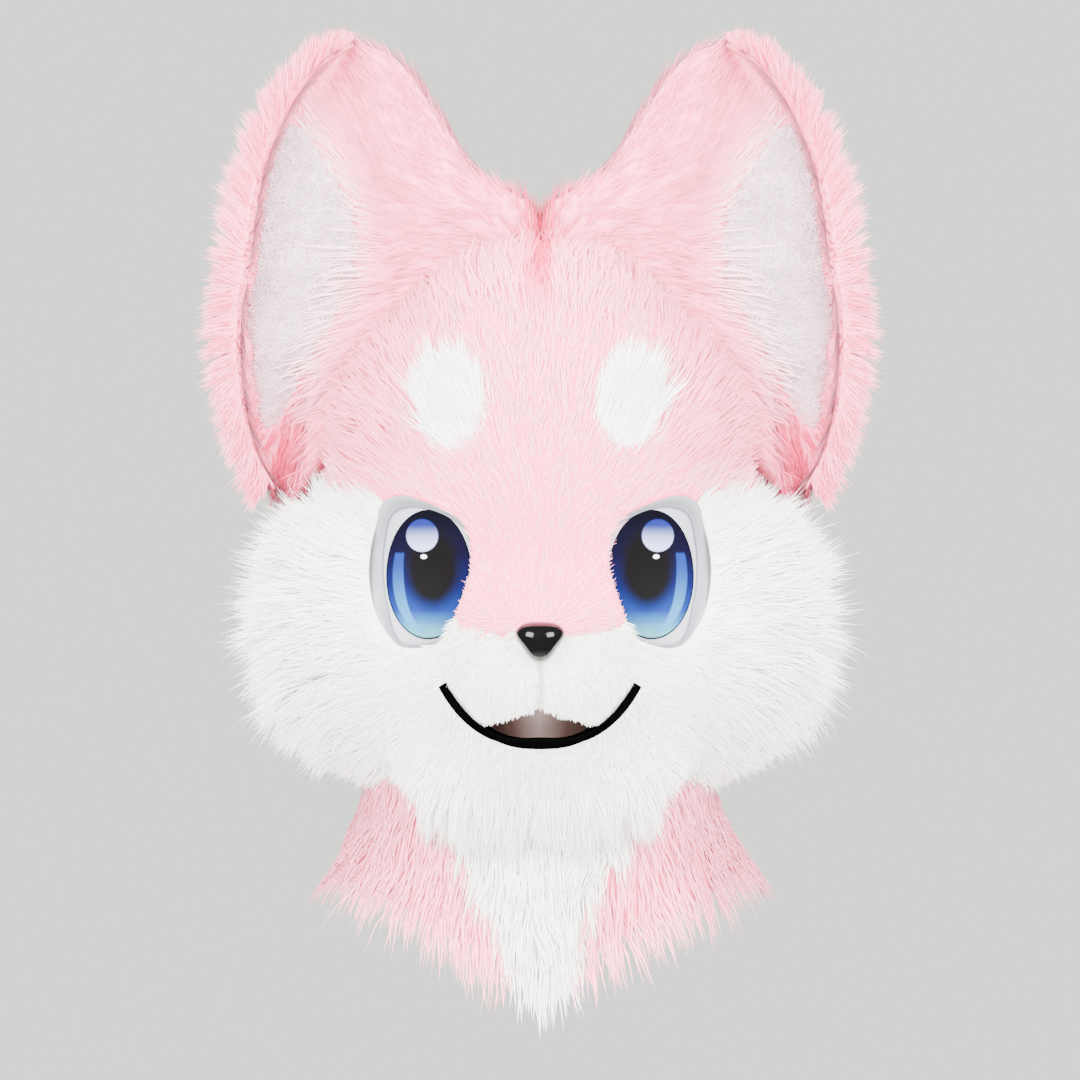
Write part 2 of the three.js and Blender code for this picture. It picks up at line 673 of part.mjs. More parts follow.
// The neck tube, with turn 0 ahead. Every other column runs on down into the point of a lock.
const NECK_TOP = FOOT_HEIGHT - CLEARANCE;
const NECK_ROWS = [
  { down: 0, inset: 1 },
  { down: 0.5, inset: 1 },
  { down: 1, inset: 0.8 },
];
const HEM_THINNING = 0.3;

function neckHem(turn) {
  const point = 1 - Math.abs(Math.sin(turn));
  const drop = Math.cos(turn) > 0 ? NECK_POINT_DROP * point ** 1.2 : NECK_BACK_DROP * point;
  return NECK_TOP - NECK_SIDE_DROP - drop;
}

function neckPoint(turn, down, inset, below) {
  const flare = NECK_FLARE * down * down * (0.3 + 0.7 * Math.abs(Math.sin(turn)));
  const wide = FOOT_WIDE + PILE + flare - inset;
  const deep = FOOT_DEEP + PILE + flare - inset;
  const z = mix(NECK_TOP, neckHem(turn), down) - below;
  return vec(wide * Math.sin(turn), FOOT_BACK - deep * Math.cos(turn), z);
}

function neckTube() {
  const side = (inner) =>
    counted(NECK_COLUMNS, (i) => {
      const turn = (2 * Math.PI * i) / NECK_COLUMNS;
      const thin = ((1 - HEM_THINNING) * NECK_WALL) / 2;
      const tip = neckPoint(turn, 1, inner ? NECK_WALL - thin : thin, i % 2 ? 0 : HEM_LOCK);
      return [...NECK_ROWS.map((row) => neckPoint(turn, row.down, inner ? NECK_WALL * row.inset : 0, 0)), tip];
    });
  return slab(side(false), side(true), true);
}

// The neck and its hollow as one full column, with room round it.
function neckCore() {
  const axis = (height) => vec(0, FOOT_BACK, height);
  const columns = counted(NECK_COLUMNS, (i) => {
    const turn = (2 * Math.PI * i) / NECK_COLUMNS;
    const wall = NECK_ROWS.map((row) => neckPoint(turn, row.down, -CLEARANCE, CLEARANCE * (row.down - 1)));
    return [axis(NECK_TOP + CLEARANCE), ...wall, axis(-BEYOND)];
  });
  const corners = columns.flatMap((column, i) => {
    const beside = columns[(i + 1) % NECK_COLUMNS];
    return column.slice(1).flatMap((low, j) => [column[j], low, beside[j + 1], column[j], beside[j + 1], beside[j]]);
  });
  return solidOf(corners);
}

// The bib's half width down the neck, as shares of the foot's half width and of the neck's drop in front.
const BIB_ROWS = [
  { down: 1.5, half: 0.11 },
  { down: 0.95, half: 0.145 },
  { down: 0.6, half: 0.29 },
  { down: 0.3, half: 0.49 },
  { down: -0.4, half: 0.69 },
];
const BIB_DROP = NECK_SIDE_DROP + NECK_POINT_DROP;
const bibOutline = bothSides(BIB_ROWS.map(({ down, half }) => place2(half * FOOT_WIDE, NECK_TOP - down * BIB_DROP)));

function belowFoot() {
  const block = new THREE.BoxGeometry(BEYOND, BEYOND, BEYOND);
  return solidFrom(block.translate(0, 0, FOOT_HEIGHT - BEYOND / 2));
}

// The hollow that the wearer's head goes in: a dome, and a shaft down through the foot. The shaft's top is below the
// skull's centre by a share of the head's height.
const SHAFT_TOP = 0.1;

function hollow() {
  const inner = (size) => size / 2 - CROWN_WALL;
  const dome = new THREE.SphereGeometry(1, 18, 12).rotateX(Math.PI / 2);
  dome.scale(inner(HEAD_WIDTH), inner(HEAD_DEPTH), inner(HEAD_HEIGHT)).translate(0, 0, SKULL_HEIGHT);
  const shaft = new THREE.CylinderGeometry(1, 1, 1, 20).rotateX(Math.PI / 2);
  const top = SKULL_HEIGHT - SHAFT_TOP * HEAD_HEIGHT;
  const low = FOOT_HEIGHT - CROWN_WALL;
  shaft.scale(FOOT_WIDE - FOOT_WALL, FOOT_DEEP - FOOT_WALL, top - low).translate(0, FOOT_BACK, (top + low) / 2);
  return solidFrom(dome).add(solidFrom(shaft));
}

const frontCut = (outline, extra = 0) => prism(extra ? grown(outline, extra) : outline, MASK_BACK + extra);
const toWearersLeft = () =>
  prism([place2(CLEARANCE, -BEYOND), place2(BEYOND, -BEYOND), place2(BEYOND, BEYOND), place2(CLEARANCE, BEYOND)]);

const eyeHoles = paired(eyeHole());
const mouth = mouthHole();
const underFur = headAt(CLEARANCE);
const noseRoom = prism(grown(noseOutline(), CLEARANCE), NOSE_SEAT);
const coat = headAt(PILE)
  .subtract(underFur)
  .subtract(belowFoot())
  .subtract(eyeHoles)
  .subtract(mouth)
  .subtract(noseRoom);
const neckRoom = neckCore();
const ruffRoom = paired(ruff(CLEARANCE));

function headBase() {
  return headAt(0).subtract(belowFoot()).subtract(hollow()).subtract(eyeHoles).subtract(mouth);
}

// The white mask: the muzzle, the chin with its full jaw, and the two cheeks with their ruffs.
function whiteFur() {
  const mask = coat.intersect(frontCut(maskOutline));
  const muzzle = mask.intersect(frontCut(muzzleOutline));
  const muzzleless = mask.subtract(frontCut(muzzleOutline, CLEARANCE));
  const chin = muzzleless.intersect(frontCut(chinOutline)).add(jaw(0));
  const cheek = muzzleless.subtract(frontCut(chinOutline, CLEARANCE)).intersect(toWearersLeft());
  const ruffed = cheek.subtract(jaw(CLEARANCE)).add(ruff(0)).subtract(eyeHoles);
  const clear = (solid) => whole(solid.subtract(underFur).subtract(neckRoom));
  return [whole(muzzle), clear(chin.subtract(mouth).subtract(ruffRoom)), clear(ruffed)];
}

// The pink coat with its temple tufts, and the white patch over the wearer's left eye.
function pinkFur() {
  const tufts = paired(temple(0)).subtract(underFur);
  const pink = coat.subtract(frontCut(maskOutline, CLEARANCE)).add(tufts).subtract(ruffRoom);
  const browRoom = paired(prism(grown(browOutline, CLEARANCE), 0));
  return [whole(pink.subtract(browRoom)), pink.intersect(prism(browOutline, 0))];
}

// The wearer's left ear and its plush, cut to sit on the head's fur.
function earPieces() {
  const around = joined([headAt(PILE + CLEARANCE), ruffRoom, paired(temple(CLEARANCE))]);
  return [ear().add(rimLocks()), earPlush()].map((solid) => whole(solid.subtract(around)));
}

function neckPieces() {
  const tube = neckTube();
  const bib = tube.intersect(prism(bibOutline, 0));
  return [whole(tube.subtract(prism(grown(bibOutline, CLEARANCE), 0))), whole(bib)];
}

const MATERIALS = {
  foam: { color: "#d9cfc0", roughness: 0.95 },
  pink: { color: "#fbccd4", roughness: 0.95 },
  white: { color: "#f2f1ec", roughness: 0.95 },
  plush: { color: "#eee2ea", roughness: 0.95 },
  panel: { color: "#e4e4ee", roughness: 0.5 },
  rim: { color: "#dcdce0", roughness: 0.6 },
  iris: { color: "#2a3fb0", roughness: 0.35 },
  gloss: { color: "#050505", roughness: 0.12 },
  lip: { color: "#070707", roughness: 0.7 },
  lining: { color: "#6b504c", roughness: 0.8 },
};

function meshOf(name, solid, finish) {
  const made = solid.getMesh();
  const geometry = new THREE.BufferGeometry();
  geometry.setAttribute("position", new THREE.BufferAttribute(new Float32Array(made.vertProperties), 3));
  geometry.setIndex(new THREE.BufferAttribute(new Uint32Array(made.triVerts), 1));
  const material = new THREE.MeshStandardMaterial({ ...MATERIALS[finish], metalness: 0 });
  const mesh = new THREE.Mesh(geometry.toNonIndexed(), material);
  mesh.geometry.computeVertexNormals();
  mesh.name = name;
  return mesh;
}

const head = new THREE.Group();
const put = (name, solid, finish) => head.add(meshOf(name, solid, finish));
const putPair = (name, solid, finish) => {
  put(`${name}_left`, solid, finish);
  put(`${name}_right`, flipped(solid), finish);
};

const [muzzleFur, chinFur, cheekFur] = whiteFur();
const [crownFur, browPatch] = pinkFur();
const [earFur, plush] = earPieces();
const [neckFur, bibFur] = neckPieces();

put("head_base", headBase(), "foam");
put("crown_fur", crownFur, "pink");
putPair("brow_patch", browPatch, "white");
putPair("cheek_fur", cheekFur, "white");
put("muzzle_fur", muzzleFur, "white");
put("chin_fur", chinFur, "white");
putPair("ear_fur", earFur, "pink");
putPair("ear_plush", plush, "plush");
putPair("eye_panel", eyePanel(), "panel");
putPair("eye_rim", eyeRim(), "rim");
putPair("eye_iris", eyeIris(), "iris");
put("nose", nose(), "gloss");
put("mouth_lip", mouthLip(), "lip");
put("mouth_lining", mouthLining(), "lining");
put("neck_fur", neckFur, "pink");
put("bib_fur", bibFur, "white");

export default head;
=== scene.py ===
# %% [markdown]
# # A furry animal head costume
# The real thing is a hollow foam head that is worn over the wearer's own. Panels of faux fur are sewn and
# glued on it, combed, and trimmed short round the eyes and muzzle. Here the measured model gives the places
# and sizes, and each panel is made again as a thin cloth backing with its pile grown on it as real geometry.

import bmesh
import bpy
import numpy as np
from mathutils import Matrix, Vector
from mathutils.kdtree import KDTree


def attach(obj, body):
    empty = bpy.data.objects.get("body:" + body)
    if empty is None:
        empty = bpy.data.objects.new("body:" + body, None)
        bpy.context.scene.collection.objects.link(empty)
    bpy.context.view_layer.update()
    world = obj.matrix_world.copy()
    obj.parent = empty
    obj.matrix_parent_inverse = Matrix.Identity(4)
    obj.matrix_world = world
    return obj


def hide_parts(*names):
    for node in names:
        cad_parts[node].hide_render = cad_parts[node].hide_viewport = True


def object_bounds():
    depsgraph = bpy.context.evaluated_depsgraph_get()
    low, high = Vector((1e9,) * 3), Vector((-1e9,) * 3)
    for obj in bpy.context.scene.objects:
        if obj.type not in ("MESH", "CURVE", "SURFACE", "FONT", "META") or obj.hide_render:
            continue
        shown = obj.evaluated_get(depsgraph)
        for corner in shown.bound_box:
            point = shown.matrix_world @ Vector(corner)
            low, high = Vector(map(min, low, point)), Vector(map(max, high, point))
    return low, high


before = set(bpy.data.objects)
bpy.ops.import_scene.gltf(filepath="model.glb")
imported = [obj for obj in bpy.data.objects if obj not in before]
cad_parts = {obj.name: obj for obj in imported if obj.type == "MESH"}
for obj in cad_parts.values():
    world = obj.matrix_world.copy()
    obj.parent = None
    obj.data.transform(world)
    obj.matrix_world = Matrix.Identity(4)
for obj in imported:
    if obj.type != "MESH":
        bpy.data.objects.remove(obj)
cad_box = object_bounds()
rounded = [[round(c, 3) for c in corner] for corner in cad_box]
print("measured model:", len(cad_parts), "nodes, box", rounded)

# %% [markdown]
# ## Camera
# The photograph was taken level with the cheeks and straight from the front. A long lens two metres away
# keeps the ears from leaning in, so the camera gets the lens that shows 0.702 m across at that distance.

# %% Camera
VIEW_DISTANCE = 2.0
VIEW_HEIGHT = -0.173
VIEW_WIDTH = 0.702
SENSOR = 36.0


def in_scene(name, data):
    """a new object at the origin, linked to the scene"""
    made = bpy.data.objects.new(name, data)
    bpy.context.scene.collection.objects.link(made)
    return made


camera = in_scene("photo_camera", bpy.data.cameras.new("photo_camera"))
camera.data.sensor_width = SENSOR
camera.data.lens = SENSOR * VIEW_DISTANCE / VIEW_WIDTH
camera.location = (0, -VIEW_DISTANCE, VIEW_HEIGHT)
camera.rotation_euler = (np.pi / 2, 0, 0)
bpy.context.scene.camera = camera
print("lens", round(camera.data.lens, 1), "mm")

# %% [markdown]
# ## The head's curved surface
# The foam is carved so that skull, cheeks, muzzle and chin melt into each other. The same idea makes the
# surface here: each bulge is a ball that is stretched, and where two of them meet, their distances are
# blended. A point lies on the surface where the blended distance is zero.

# %% Bulges that melt together
HEAD = np.array([0.264, 0.280, 0.324])
CROWN_WALL = 0.012
MELT = 0.022
PILE = 0.010
SKULL = np.array([0, 0, CROWN_WALL - HEAD[2] / 2])
HEART = SKULL + np.array([0, -0.04, -0.06]) * HEAD
LEFT_TO_RIGHT = np.array([-1, 1, 1])

# Places from the skull's centre and half sizes, as shares of the head's
CRANIUM = np.array([[0, 0, 0], [0.5, 0.5, 0.5]])
CHEEK = np.array([[0.235, -0.11, -0.28], [0.295, 0.34, 0.222]])
SNOUT = np.array([[0, -0.45, -0.315], [0.215, 0.215, 0.125]])
CHIN = np.array([[0, -0.35, -0.425], [0.2, 0.2, 0.1]])
THROAT = np.array([[0, 0.03, -0.44], [0.41, 0.425, 0.28]])
RUFF = np.array([[0.42, -0.03, -0.235], [0.225, 0.26, 0.29]])
JAW = np.array([[0, -0.37, -0.515], [0.34, 0.14, 0.11]])


def other_side(bulge):
    return np.array([bulge[0] * LEFT_TO_RIGHT, bulge[1]])


BULGES = [CRANIUM, CHEEK, other_side(CHEEK), SNOUT, CHIN, THROAT]
print("head", HEAD * 1000, "mm, from", len(BULGES), "bulges")


def ball(points, bulge):
    """how far points lie outside a stretched ball"""
    away = points - (SKULL + bulge[0] * HEAD)
    size = bulge[1] * HEAD
    scaled = np.linalg.norm(away / size, axis=1)
    slope = np.maximum(np.linalg.norm(away / size**2, axis=1), 1e-6)
    return scaled * (scaled - 1) / slope


def melt(a, b, over):
    """the nearer of two surfaces, blended over a width where they meet"""
    share = np.maximum(over - np.abs(a - b), 0) / over
    return np.minimum(a, b) - share * share * over / 4


def foam(points, over=MELT):
    """how far points lie outside the carved foam"""
    near = ball(points, BULGES[0])
    for bulge in BULGES[1:]:
        near = melt(near, ball(points, bulge), over)
    return near


BACKING_LIFT = 0.003
BACKING_MELT = 0.04
FULL_INSET = 0.012
FULL_MELT = 0.035


def backing(points):
    """the cloth that the pile is woven into, fuller at the ruff and under the jaw"""
    near = foam(points, BACKING_MELT) - BACKING_LIFT
    for bulge in (RUFF, other_side(RUFF), JAW):
        near = melt(near, ball(points, bulge) + FULL_INSET, FULL_MELT)
    return near


# %% Points on the surface
FORWARD = np.array([0.0, -1.0, 0.0])
FAR = 0.6
HALVINGS = 24


def towards_viewer(points):
    return np.tile(FORWARD, (len(points), 1))


def reach(start, ray, field):
    """where rays from inside cross the surface"""
    low = np.zeros(len(ray))
    high = np.full(len(ray), FAR)
    for _ in range(HALVINGS):
        middle = (low + high) / 2
        inside = field(start + ray * middle[:, None]) < 0
        low = np.where(inside, middle, low)
        high = np.where(inside, high, middle)
    return start + ray * low[:, None]


def on_face(across, up, layer=0.0, field=foam):
    """points of a layer seen at places in the front view; under the foam's surface they lie straight back"""
    across, up = np.broadcast_arrays(np.asarray(across, float), np.asarray(up, float))
    start = np.column_stack([across, np.full(len(across), HEART[1]), up])
    points = reach(start, towards_viewer(start), lambda p: field(p) - max(layer, 0))
    return points - FORWARD * max(-layer, 0)


def unit(rows):
    return rows / np.maximum(np.linalg.norm(rows, axis=1, keepdims=True), 1e-9)


def smooth_step(low, high, value):
    """0 before low, 1 after high, and an even slope between them"""
    share = np.clip((value - low) / (high - low), 0, 1)
    return share * share * (3 - 2 * share)


print("the foam's front at the heart's height:", on_face([0.0], [HEART[2]])[0].round(4))

# %% [markdown]
# ## Outlines
# Eyes, nose and seams are drawn as a few points in the front view, and a smooth curve goes through them.
# These are the paper patterns of the costume.

# %% Smooth curves through a few points
CURVE_PARTS = 24
# Which two knots each step of the curve's formula runs between
CURVE_STEPS = ([(0, 1), (1, 2), (2, 3)], [(0, 2), (1, 3)], [(1, 2)])


def smooth_line(points, count, closed=True):
    """evenly spaced points on a centripetal Catmull-Rom curve"""
    p = np.asarray(points, float)
    p = np.vstack([p[-1], p, p[:2]]) if closed else np.vstack([2 * p[0] - p[1], p, 2 * p[-1] - p[-2]])
    knots = np.concatenate([[0], np.cumsum(np.linalg.norm(np.diff(p, axis=0), axis=1) ** 0.5)])
    dense = []
    for i in range(1, len(p) - 2):
        t = np.linspace(knots[i], knots[i + 1], CURVE_PARTS, endpoint=False)[:, None]
        k = knots[i - 1 : i + 3]
        level = p[i - 1 : i + 3]
        for ends in CURVE_STEPS:
            pairs = zip(level, level[1:], ends)
            level = [((k[b] - t) * one + (t - k[a]) * other) / (k[b] - k[a]) for one, other, (a, b) in pairs]
        dense.append(level[0])
    dense = np.vstack(dense + [p[-2:-1]])
    along = np.concatenate([[0], np.cumsum(np.linalg.norm(np.diff(dense, axis=0), axis=1))])
    at = np.linspace(0, along[-1], count, endpoint=not closed)
    return np.column_stack([np.interp(at, along, column) for column in dense.T])


def along_line(line, share):
    """places on a line of points, for shares from 0 at its start to 1 at its end"""
    at = share * (len(line) - 1)
    return np.column_stack([np.interp(at, np.arange(len(line)), column) for column in line.T])


def ring(outline):
    """an outline with its first point put again at its end"""
    return np.vstack([outline, outline[:1]])


def within(points, outline):
    """which points of the front view lie inside an outline"""
    x, z = points[:, 0, None], points[:, 1, None]
    a, b = outline, np.roll(outline, -1, axis=0)
    crosses = (a[:, 1] > z) != (b[:, 1] > z)
    run = np.where(b[:, 1] == a[:, 1], 1, b[:, 1] - a[:, 1])
    at = a[:, 0] + (z - a[:, 1]) * (b[:, 0] - a[:, 0]) / run
    return (crosses & (x < at)).sum(axis=1) % 2 == 1


def nearest(points, outline):
    """the nearest of an outline's points to each point, and how far it is"""
    gap = np.linalg.norm(points[:, None, :] - outline[None, :, :], axis=2)
    return outline[gap.argmin(axis=1)], gap.min(axis=1)


# %% Patterns of the eyes
EYE = np.array([0.072, -0.194])
EYE_SIZE = np.array([0.061, 0.087])
IRIS_SIZE = np.array([0.0535, 0.079])
IRIS = EYE - np.array([0.0035, 0])
EYE_TEMPLE = [[0.98, 0], [0.92, 0.52], [0.66, 0.96]]
EYE_INNER = [[-0.2, 0.97], [-0.84, 0.7], [-1, 0.2], [-0.78, -0.38]]
EYE_BELOW = [[-0.4, -0.92], [0.42, -1], [0.8, -0.56]]
EYE_SHAPE = np.array(EYE_TEMPLE + EYE_INNER + EYE_BELOW)
OUTLINE_POINTS = 120


def eye_outline(trim, count=OUTLINE_POINTS):
    return smooth_line(EYE + EYE_SHAPE * (EYE_SIZE / 2 - trim), count)


WALL_SIDE = np.array([0.98, 0.2])
WALL_LAP = 0.0045


def wall_share(outline):
    """0 by the nose and 1 towards the temple, where the socket's wall is wide"""
    return smooth_step(-0.1, 0.7, unit(outline - EYE) @ WALL_SIDE)


def socket_outline(count=OUTLINE_POINTS):
    """where the fur ends round the eye"""
    edge = eye_outline(0, count)
    return edge + unit(edge - EYE) * (WALL_LAP * wall_share(edge))[:, None]


def mirrored(outline):
    return outline * [-1, 1]


fur_ends = np.ptp(socket_outline(), axis=0).round(4) * 1000
print("eye opening", EYE_SIZE * 1000, "mm; where the fur ends", fur_ends, "mm")

# %% Patterns of the mouth and the nose
MOUTH_HALF = 0.057
MOUTH_CORNER = -0.259
MOUTH_DROP = 0.039
MOUTH_BEND = 2.7
LIP_THICK = 0.0075
LIP_THINS = 0.0066
LIP_TAPER = 1.3
LIP_PEAK = 0.0125
LIP_LOBE = 0.6
LOBE_BEND = 0.75


def mouth_share(x):
    """0 in the middle of the mouth and 1 at its corners"""
    return np.minimum(np.abs(x) / MOUTH_HALF, 1)


def lip_under(x):
    return MOUTH_CORNER - MOUTH_DROP * (1 - mouth_share(x) ** MOUTH_BEND)


def lip_over(x):
    return lip_under(x) + LIP_THICK - LIP_THINS * mouth_share(x) ** LIP_TAPER


def muzzle_edge(x):
    """the muzzle's two lobes, which rise to a peak under the nose"""
    share = np.minimum(mouth_share(x) / LIP_LOBE, 1)
    lobe = lip_over(LIP_LOBE * MOUTH_HALF)
    peak = MOUTH_CORNER - LIP_PEAK
    return np.where(mouth_share(x) >= LIP_LOBE, lip_over(x), peak + (lobe - peak) * share**LOBE_BEND)


mouth_x = -MOUTH_HALF * np.cos(np.linspace(0, np.pi, 90))
mouth_low = np.column_stack([mouth_x, lip_under(mouth_x)])
mouth_high = np.column_stack([mouth_x, muzzle_edge(mouth_x)])
mouth_outline = np.vstack([mouth_low, mouth_high[::-1]])
NOSE = np.array([0, -0.232])
NOSE_SIZE = np.array([0.027, 0.021])
print("mouth", np.ptp(mouth_outline, axis=0).round(4) * 1000, "mm; nose", NOSE_SIZE * 1000, "mm")


# %% Patterns of the seams
def by_eye(across, up):
    return EYE + np.array([across, up]) * EYE_SIZE


def by_mouth(across, up):
    return np.array([across * MOUTH_HALF, MOUTH_CORNER + up * MOUTH_HALF])


def both_sides(points):
    points = np.array(points)
    return np.vstack([points, mirrored(points[::-1])])


# The white mask runs from far outside the head to the eye, and from there to the nose
mask_side = [[1, -1], [1, by_eye(0, 0.55)[1]], by_eye(0.46, 0.55)]
mask_front = [by_eye(-0.15, 0.06), by_eye(-0.38, -0.36), [0.02, NOSE[1] + 0.002]]
mask_outline = both_sides(mask_side + mask_front)
muzzle_under = [[0.02, -0.3], [0.045, -0.28]]
muzzle_outline = both_sides(muzzle_under + [by_mouth(1, -0.04), by_mouth(1.07, 0.26), by_mouth(0.93, 0.78)])
CHIN_SEAM = [(1.39, -2.07), (1.16, -0.47), (1, 0), (0.46, 0.21)]
chin_outline = both_sides([by_mouth(*spot) for spot in CHIN_SEAM])
BROW = np.array([0.053, -0.092])
BROW_SIZE = np.array([0.036, 0.049])


def folded(points):
    """the front view with its right half laid over the left one"""
    return np.column_stack([np.abs(points[:, 0]), points[:, 2]])


def from_brow(points):
    """1 on the outline of a brow patch, and less inside it"""
    return np.linalg.norm((folded(points) - BROW) / (BROW_SIZE / 2), axis=1)


print("seams: mask", len(mask_outline), "points, muzzle", len(muzzle_outline), "and chin", len(chin_outline))

# %% [markdown]
# ## The backing of the head fur
# A ball of small triangles is pushed out until it lies on the curved surface. It is finer round the eyes and
# the mouth, where the openings are cut and their edges are moved onto the patterns, so that they come out
# crisp.

# %% Small helpers for meshes
def coordinates(bm):
    return np.array([v.co for v in bm.verts])


def move_to(bm, points):
    for vertex, point in zip(bm.verts, points):
        vertex.co = point


def centres(bm):
    return np.array([f.calc_center_median() for f in bm.faces])


def cut_away(bm, unwanted):
    """deletes the faces that a mask picks out"""
    bmesh.ops.delete(bm, geom=[f for f, cut in zip(bm.faces[:], unwanted) if cut], context="FACES")


# %% The backing, with its openings
FINE_ROUND_OPENINGS = 0.009
EDGE_SNAP = 0.006
SLIVER = 0.0008
openings = [socket_outline(), mirrored(socket_outline()), mouth_outline]


def onto_backing(bm):
    rays = unit(coordinates(bm) - HEART)
    move_to(bm, reach(HEART, rays, backing))


def opening_gap(points):
    """how far places on the face lie from the nearest opening's edge"""
    gaps = [nearest(points[:, [0, 2]], outline)[1] for outline in openings]
    return np.where(points[:, 1] < 0, np.min(gaps, axis=0), 1)


def cut_openings(bm):
    """takes out the faces in each opening, and moves the edges that are left onto its pattern"""
    middle = centres(bm)
    front = middle[:, 1] < 0
    cut_away(bm, np.any([within(middle[:, [0, 2]], outline) for outline in openings], axis=0) & front)
    edge = [v for v in bm.verts if v.is_boundary]
    at = np.array([v.co for v in edge])
    for outline in openings:
        target, gap = nearest(at[:, [0, 2]], outline)
        close = (gap < EDGE_SNAP) & (at[:, 1] < 0)
        moved = on_face(target[close, 0], target[close, 1], field=backing)
        for vertex, point in zip([v for v, c in zip(edge, close) if c], moved):
            vertex.co = point


def whole_backing():
    bm = bmesh.new()
    bmesh.ops.create_icosphere(bm, subdivisions=6, radius=0.1, matrix=Matrix.Translation(HEART))
    onto_backing(bm)
    near = opening_gap(coordinates(bm)) < FINE_ROUND_OPENINGS
    fine = {v for v, close in zip(bm.verts, near) if close}
    edges = [e for e in bm.edges if e.verts[0] in fine and e.verts[1] in fine]
    bmesh.ops.subdivide_edges(bm, edges=edges, cuts=1, use_grid_fill=True)
    bmesh.ops.triangulate(bm, faces=bm.faces[:])
    onto_backing(bm)
    cut_openings(bm)
    bmesh.ops.dissolve_degenerate(bm, dist=SLIVER, edges=bm.edges[:])
    bmesh.ops.triangulate(bm, faces=bm.faces[:])
    return bm


whole = whole_backing()
print("backing:", len(whole.faces), "faces")

# %% Which fur panel each face of the backing belongs to
REGIONS = ["crown", "brow_left", "brow_right", "cheek_left", "cheek_right", "muzzle", "chin"]
FOOT_HEIGHT = SKULL[2] - 0.52 * HEAD[2]
FOOT_RISE = 0.004
NECK_WIDE = 0.1137
NECK_DEEP = 0.124
NECK_MIDDLE = 0.0084
MASK_END = 0.1 * HEAD[1]
RUFF_TOP = -0.15
RUFF_STANDS = 0.006


def in_neck(points):
    return (points[:, 0] / NECK_WIDE) ** 2 + ((points[:, 1] - NECK_MIDDLE) / NECK_DEEP) ** 2 < 1


def region_of(points):
    """which fur panel each point belongs to, and -1 inside the neck"""
    flat = points[:, [0, 2]]
    right = np.where(points[:, 0] > 0, 0, 1)
    to_ruff = np.minimum(ball(points, RUFF), ball(points, other_side(RUFF)))
    ruff = to_ruff + FULL_INSET < foam(points) - RUFF_STANDS
    mask = within(flat, mask_outline) & (points[:, 1] < MASK_END)
    white = mask | (ruff & (points[:, 2] < RUFF_TOP))
    front = points[:, 1] < 0
    region = np.where(white, REGIONS.index("cheek_left") + right, REGIONS.index("crown"))
    region = np.where(front & (from_brow(points) < 1), REGIONS.index("brow_left") + right, region)
    region = np.where(front & white & within(flat, chin_outline), REGIONS.index("chin"), region)
    region = np.where(front & white & within(flat, muzzle_outline), REGIONS.index("muzzle"), region)
    below = (points[:, 2] < FOOT_HEIGHT + FOOT_RISE) & in_neck(points)
    return np.where(below, -1, region)


labels = region_of(centres(whole))
print("faces of each panel:", {name: int((labels == i).sum()) for i, name in enumerate(REGIONS)})

# %% [markdown]
# ## Growing pile
# Faux fur is a backing with thousands of fibres in it. Hair curves would be the usual way in Blender, but
# they have no faces and are lost when the model leaves it. So each tuft of fibres is a closed, tapering
# spike: with a bend in its middle where the pile is long, and straight where it is short. Neighbouring tufts
# lean to a common tip, as combed fur does, and the shading normals lean to the cloth's, so that light wraps
# round the coat instead of glinting on spikes.

# %% Scatter roots over a backing
def scattered(bm, count, weight, seed):
    """random places on a mesh, more where weight is higher, with the mesh's smooth normals"""
    bm.normal_update()
    bm.verts.index_update()
    bm.faces.ensure_lookup_table()
    points = coordinates(bm)
    normals = np.array([v.normal for v in bm.verts])
    corners = np.array([[v.index for v in f.verts] for f in bm.faces])
    a, b, c = (points[corners[:, i]] for i in range(3))
    area = np.linalg.norm(np.cross(b - a, c - a), axis=1) / 2
    share = np.cumsum(area * weight((a + b + c) / 3))
    rng = np.random.default_rng(seed)
    face = np.searchsorted(share, rng.random(count) * share[-1])
    u, v = rng.random(count), rng.random(count)
    u, v = np.where(u + v > 1, 1 - u, u), np.where(u + v > 1, 1 - v, v)
    parts = np.column_stack([1 - u - v, u, v])[:, :, None]
    spread = (points[corners[face]] * parts).sum(axis=1)
    return spread, unit((normals[corners[face]] * parts).sum(axis=1)), rng


# %% Locks of neighbouring tufts
LONG_PILE = 0.023
# How strongly a tuft leans to its lock's tip, and the tufts in a lock, for bent and straight ones
GATHER = {True: 0.5, False: 0.3}
LOCK = {True: 22, False: 14}
LOCK_REACH = 0.012
# How much a whole lock varies, and a tuft in it
VARY = {"turn": (0.16, 0.12), "length": (0.1, 0.18), "lift": (0.12, 0.18), "tone": (0.16, 0.12)}


def locks(roots, rng, bent):
    """the tufts that lead a lock, the lock of each tuft, and how strongly it leans to its leader"""
    count = len(roots)
    leaders = rng.choice(count, max(count // LOCK[bent], 1), replace=False)
    tree = KDTree(len(leaders))
    for i, leader in enumerate(leaders):
        tree.insert(roots[leader], i)
    tree.balance()
    found = [tree.find(root) for root in roots]
    own = np.array([hit[1] for hit in found])
    gap = np.array([hit[2] for hit in found])
    return leaders, own, GATHER[bent] * smooth_step(LOCK_REACH, LOCK_REACH / 2, gap)[:, None]


def turned(rows, axis, angle):
    cos, sin = np.cos(angle)[:, None], np.sin(angle)[:, None]
    return rows * cos + np.cross(axis, rows) * sin


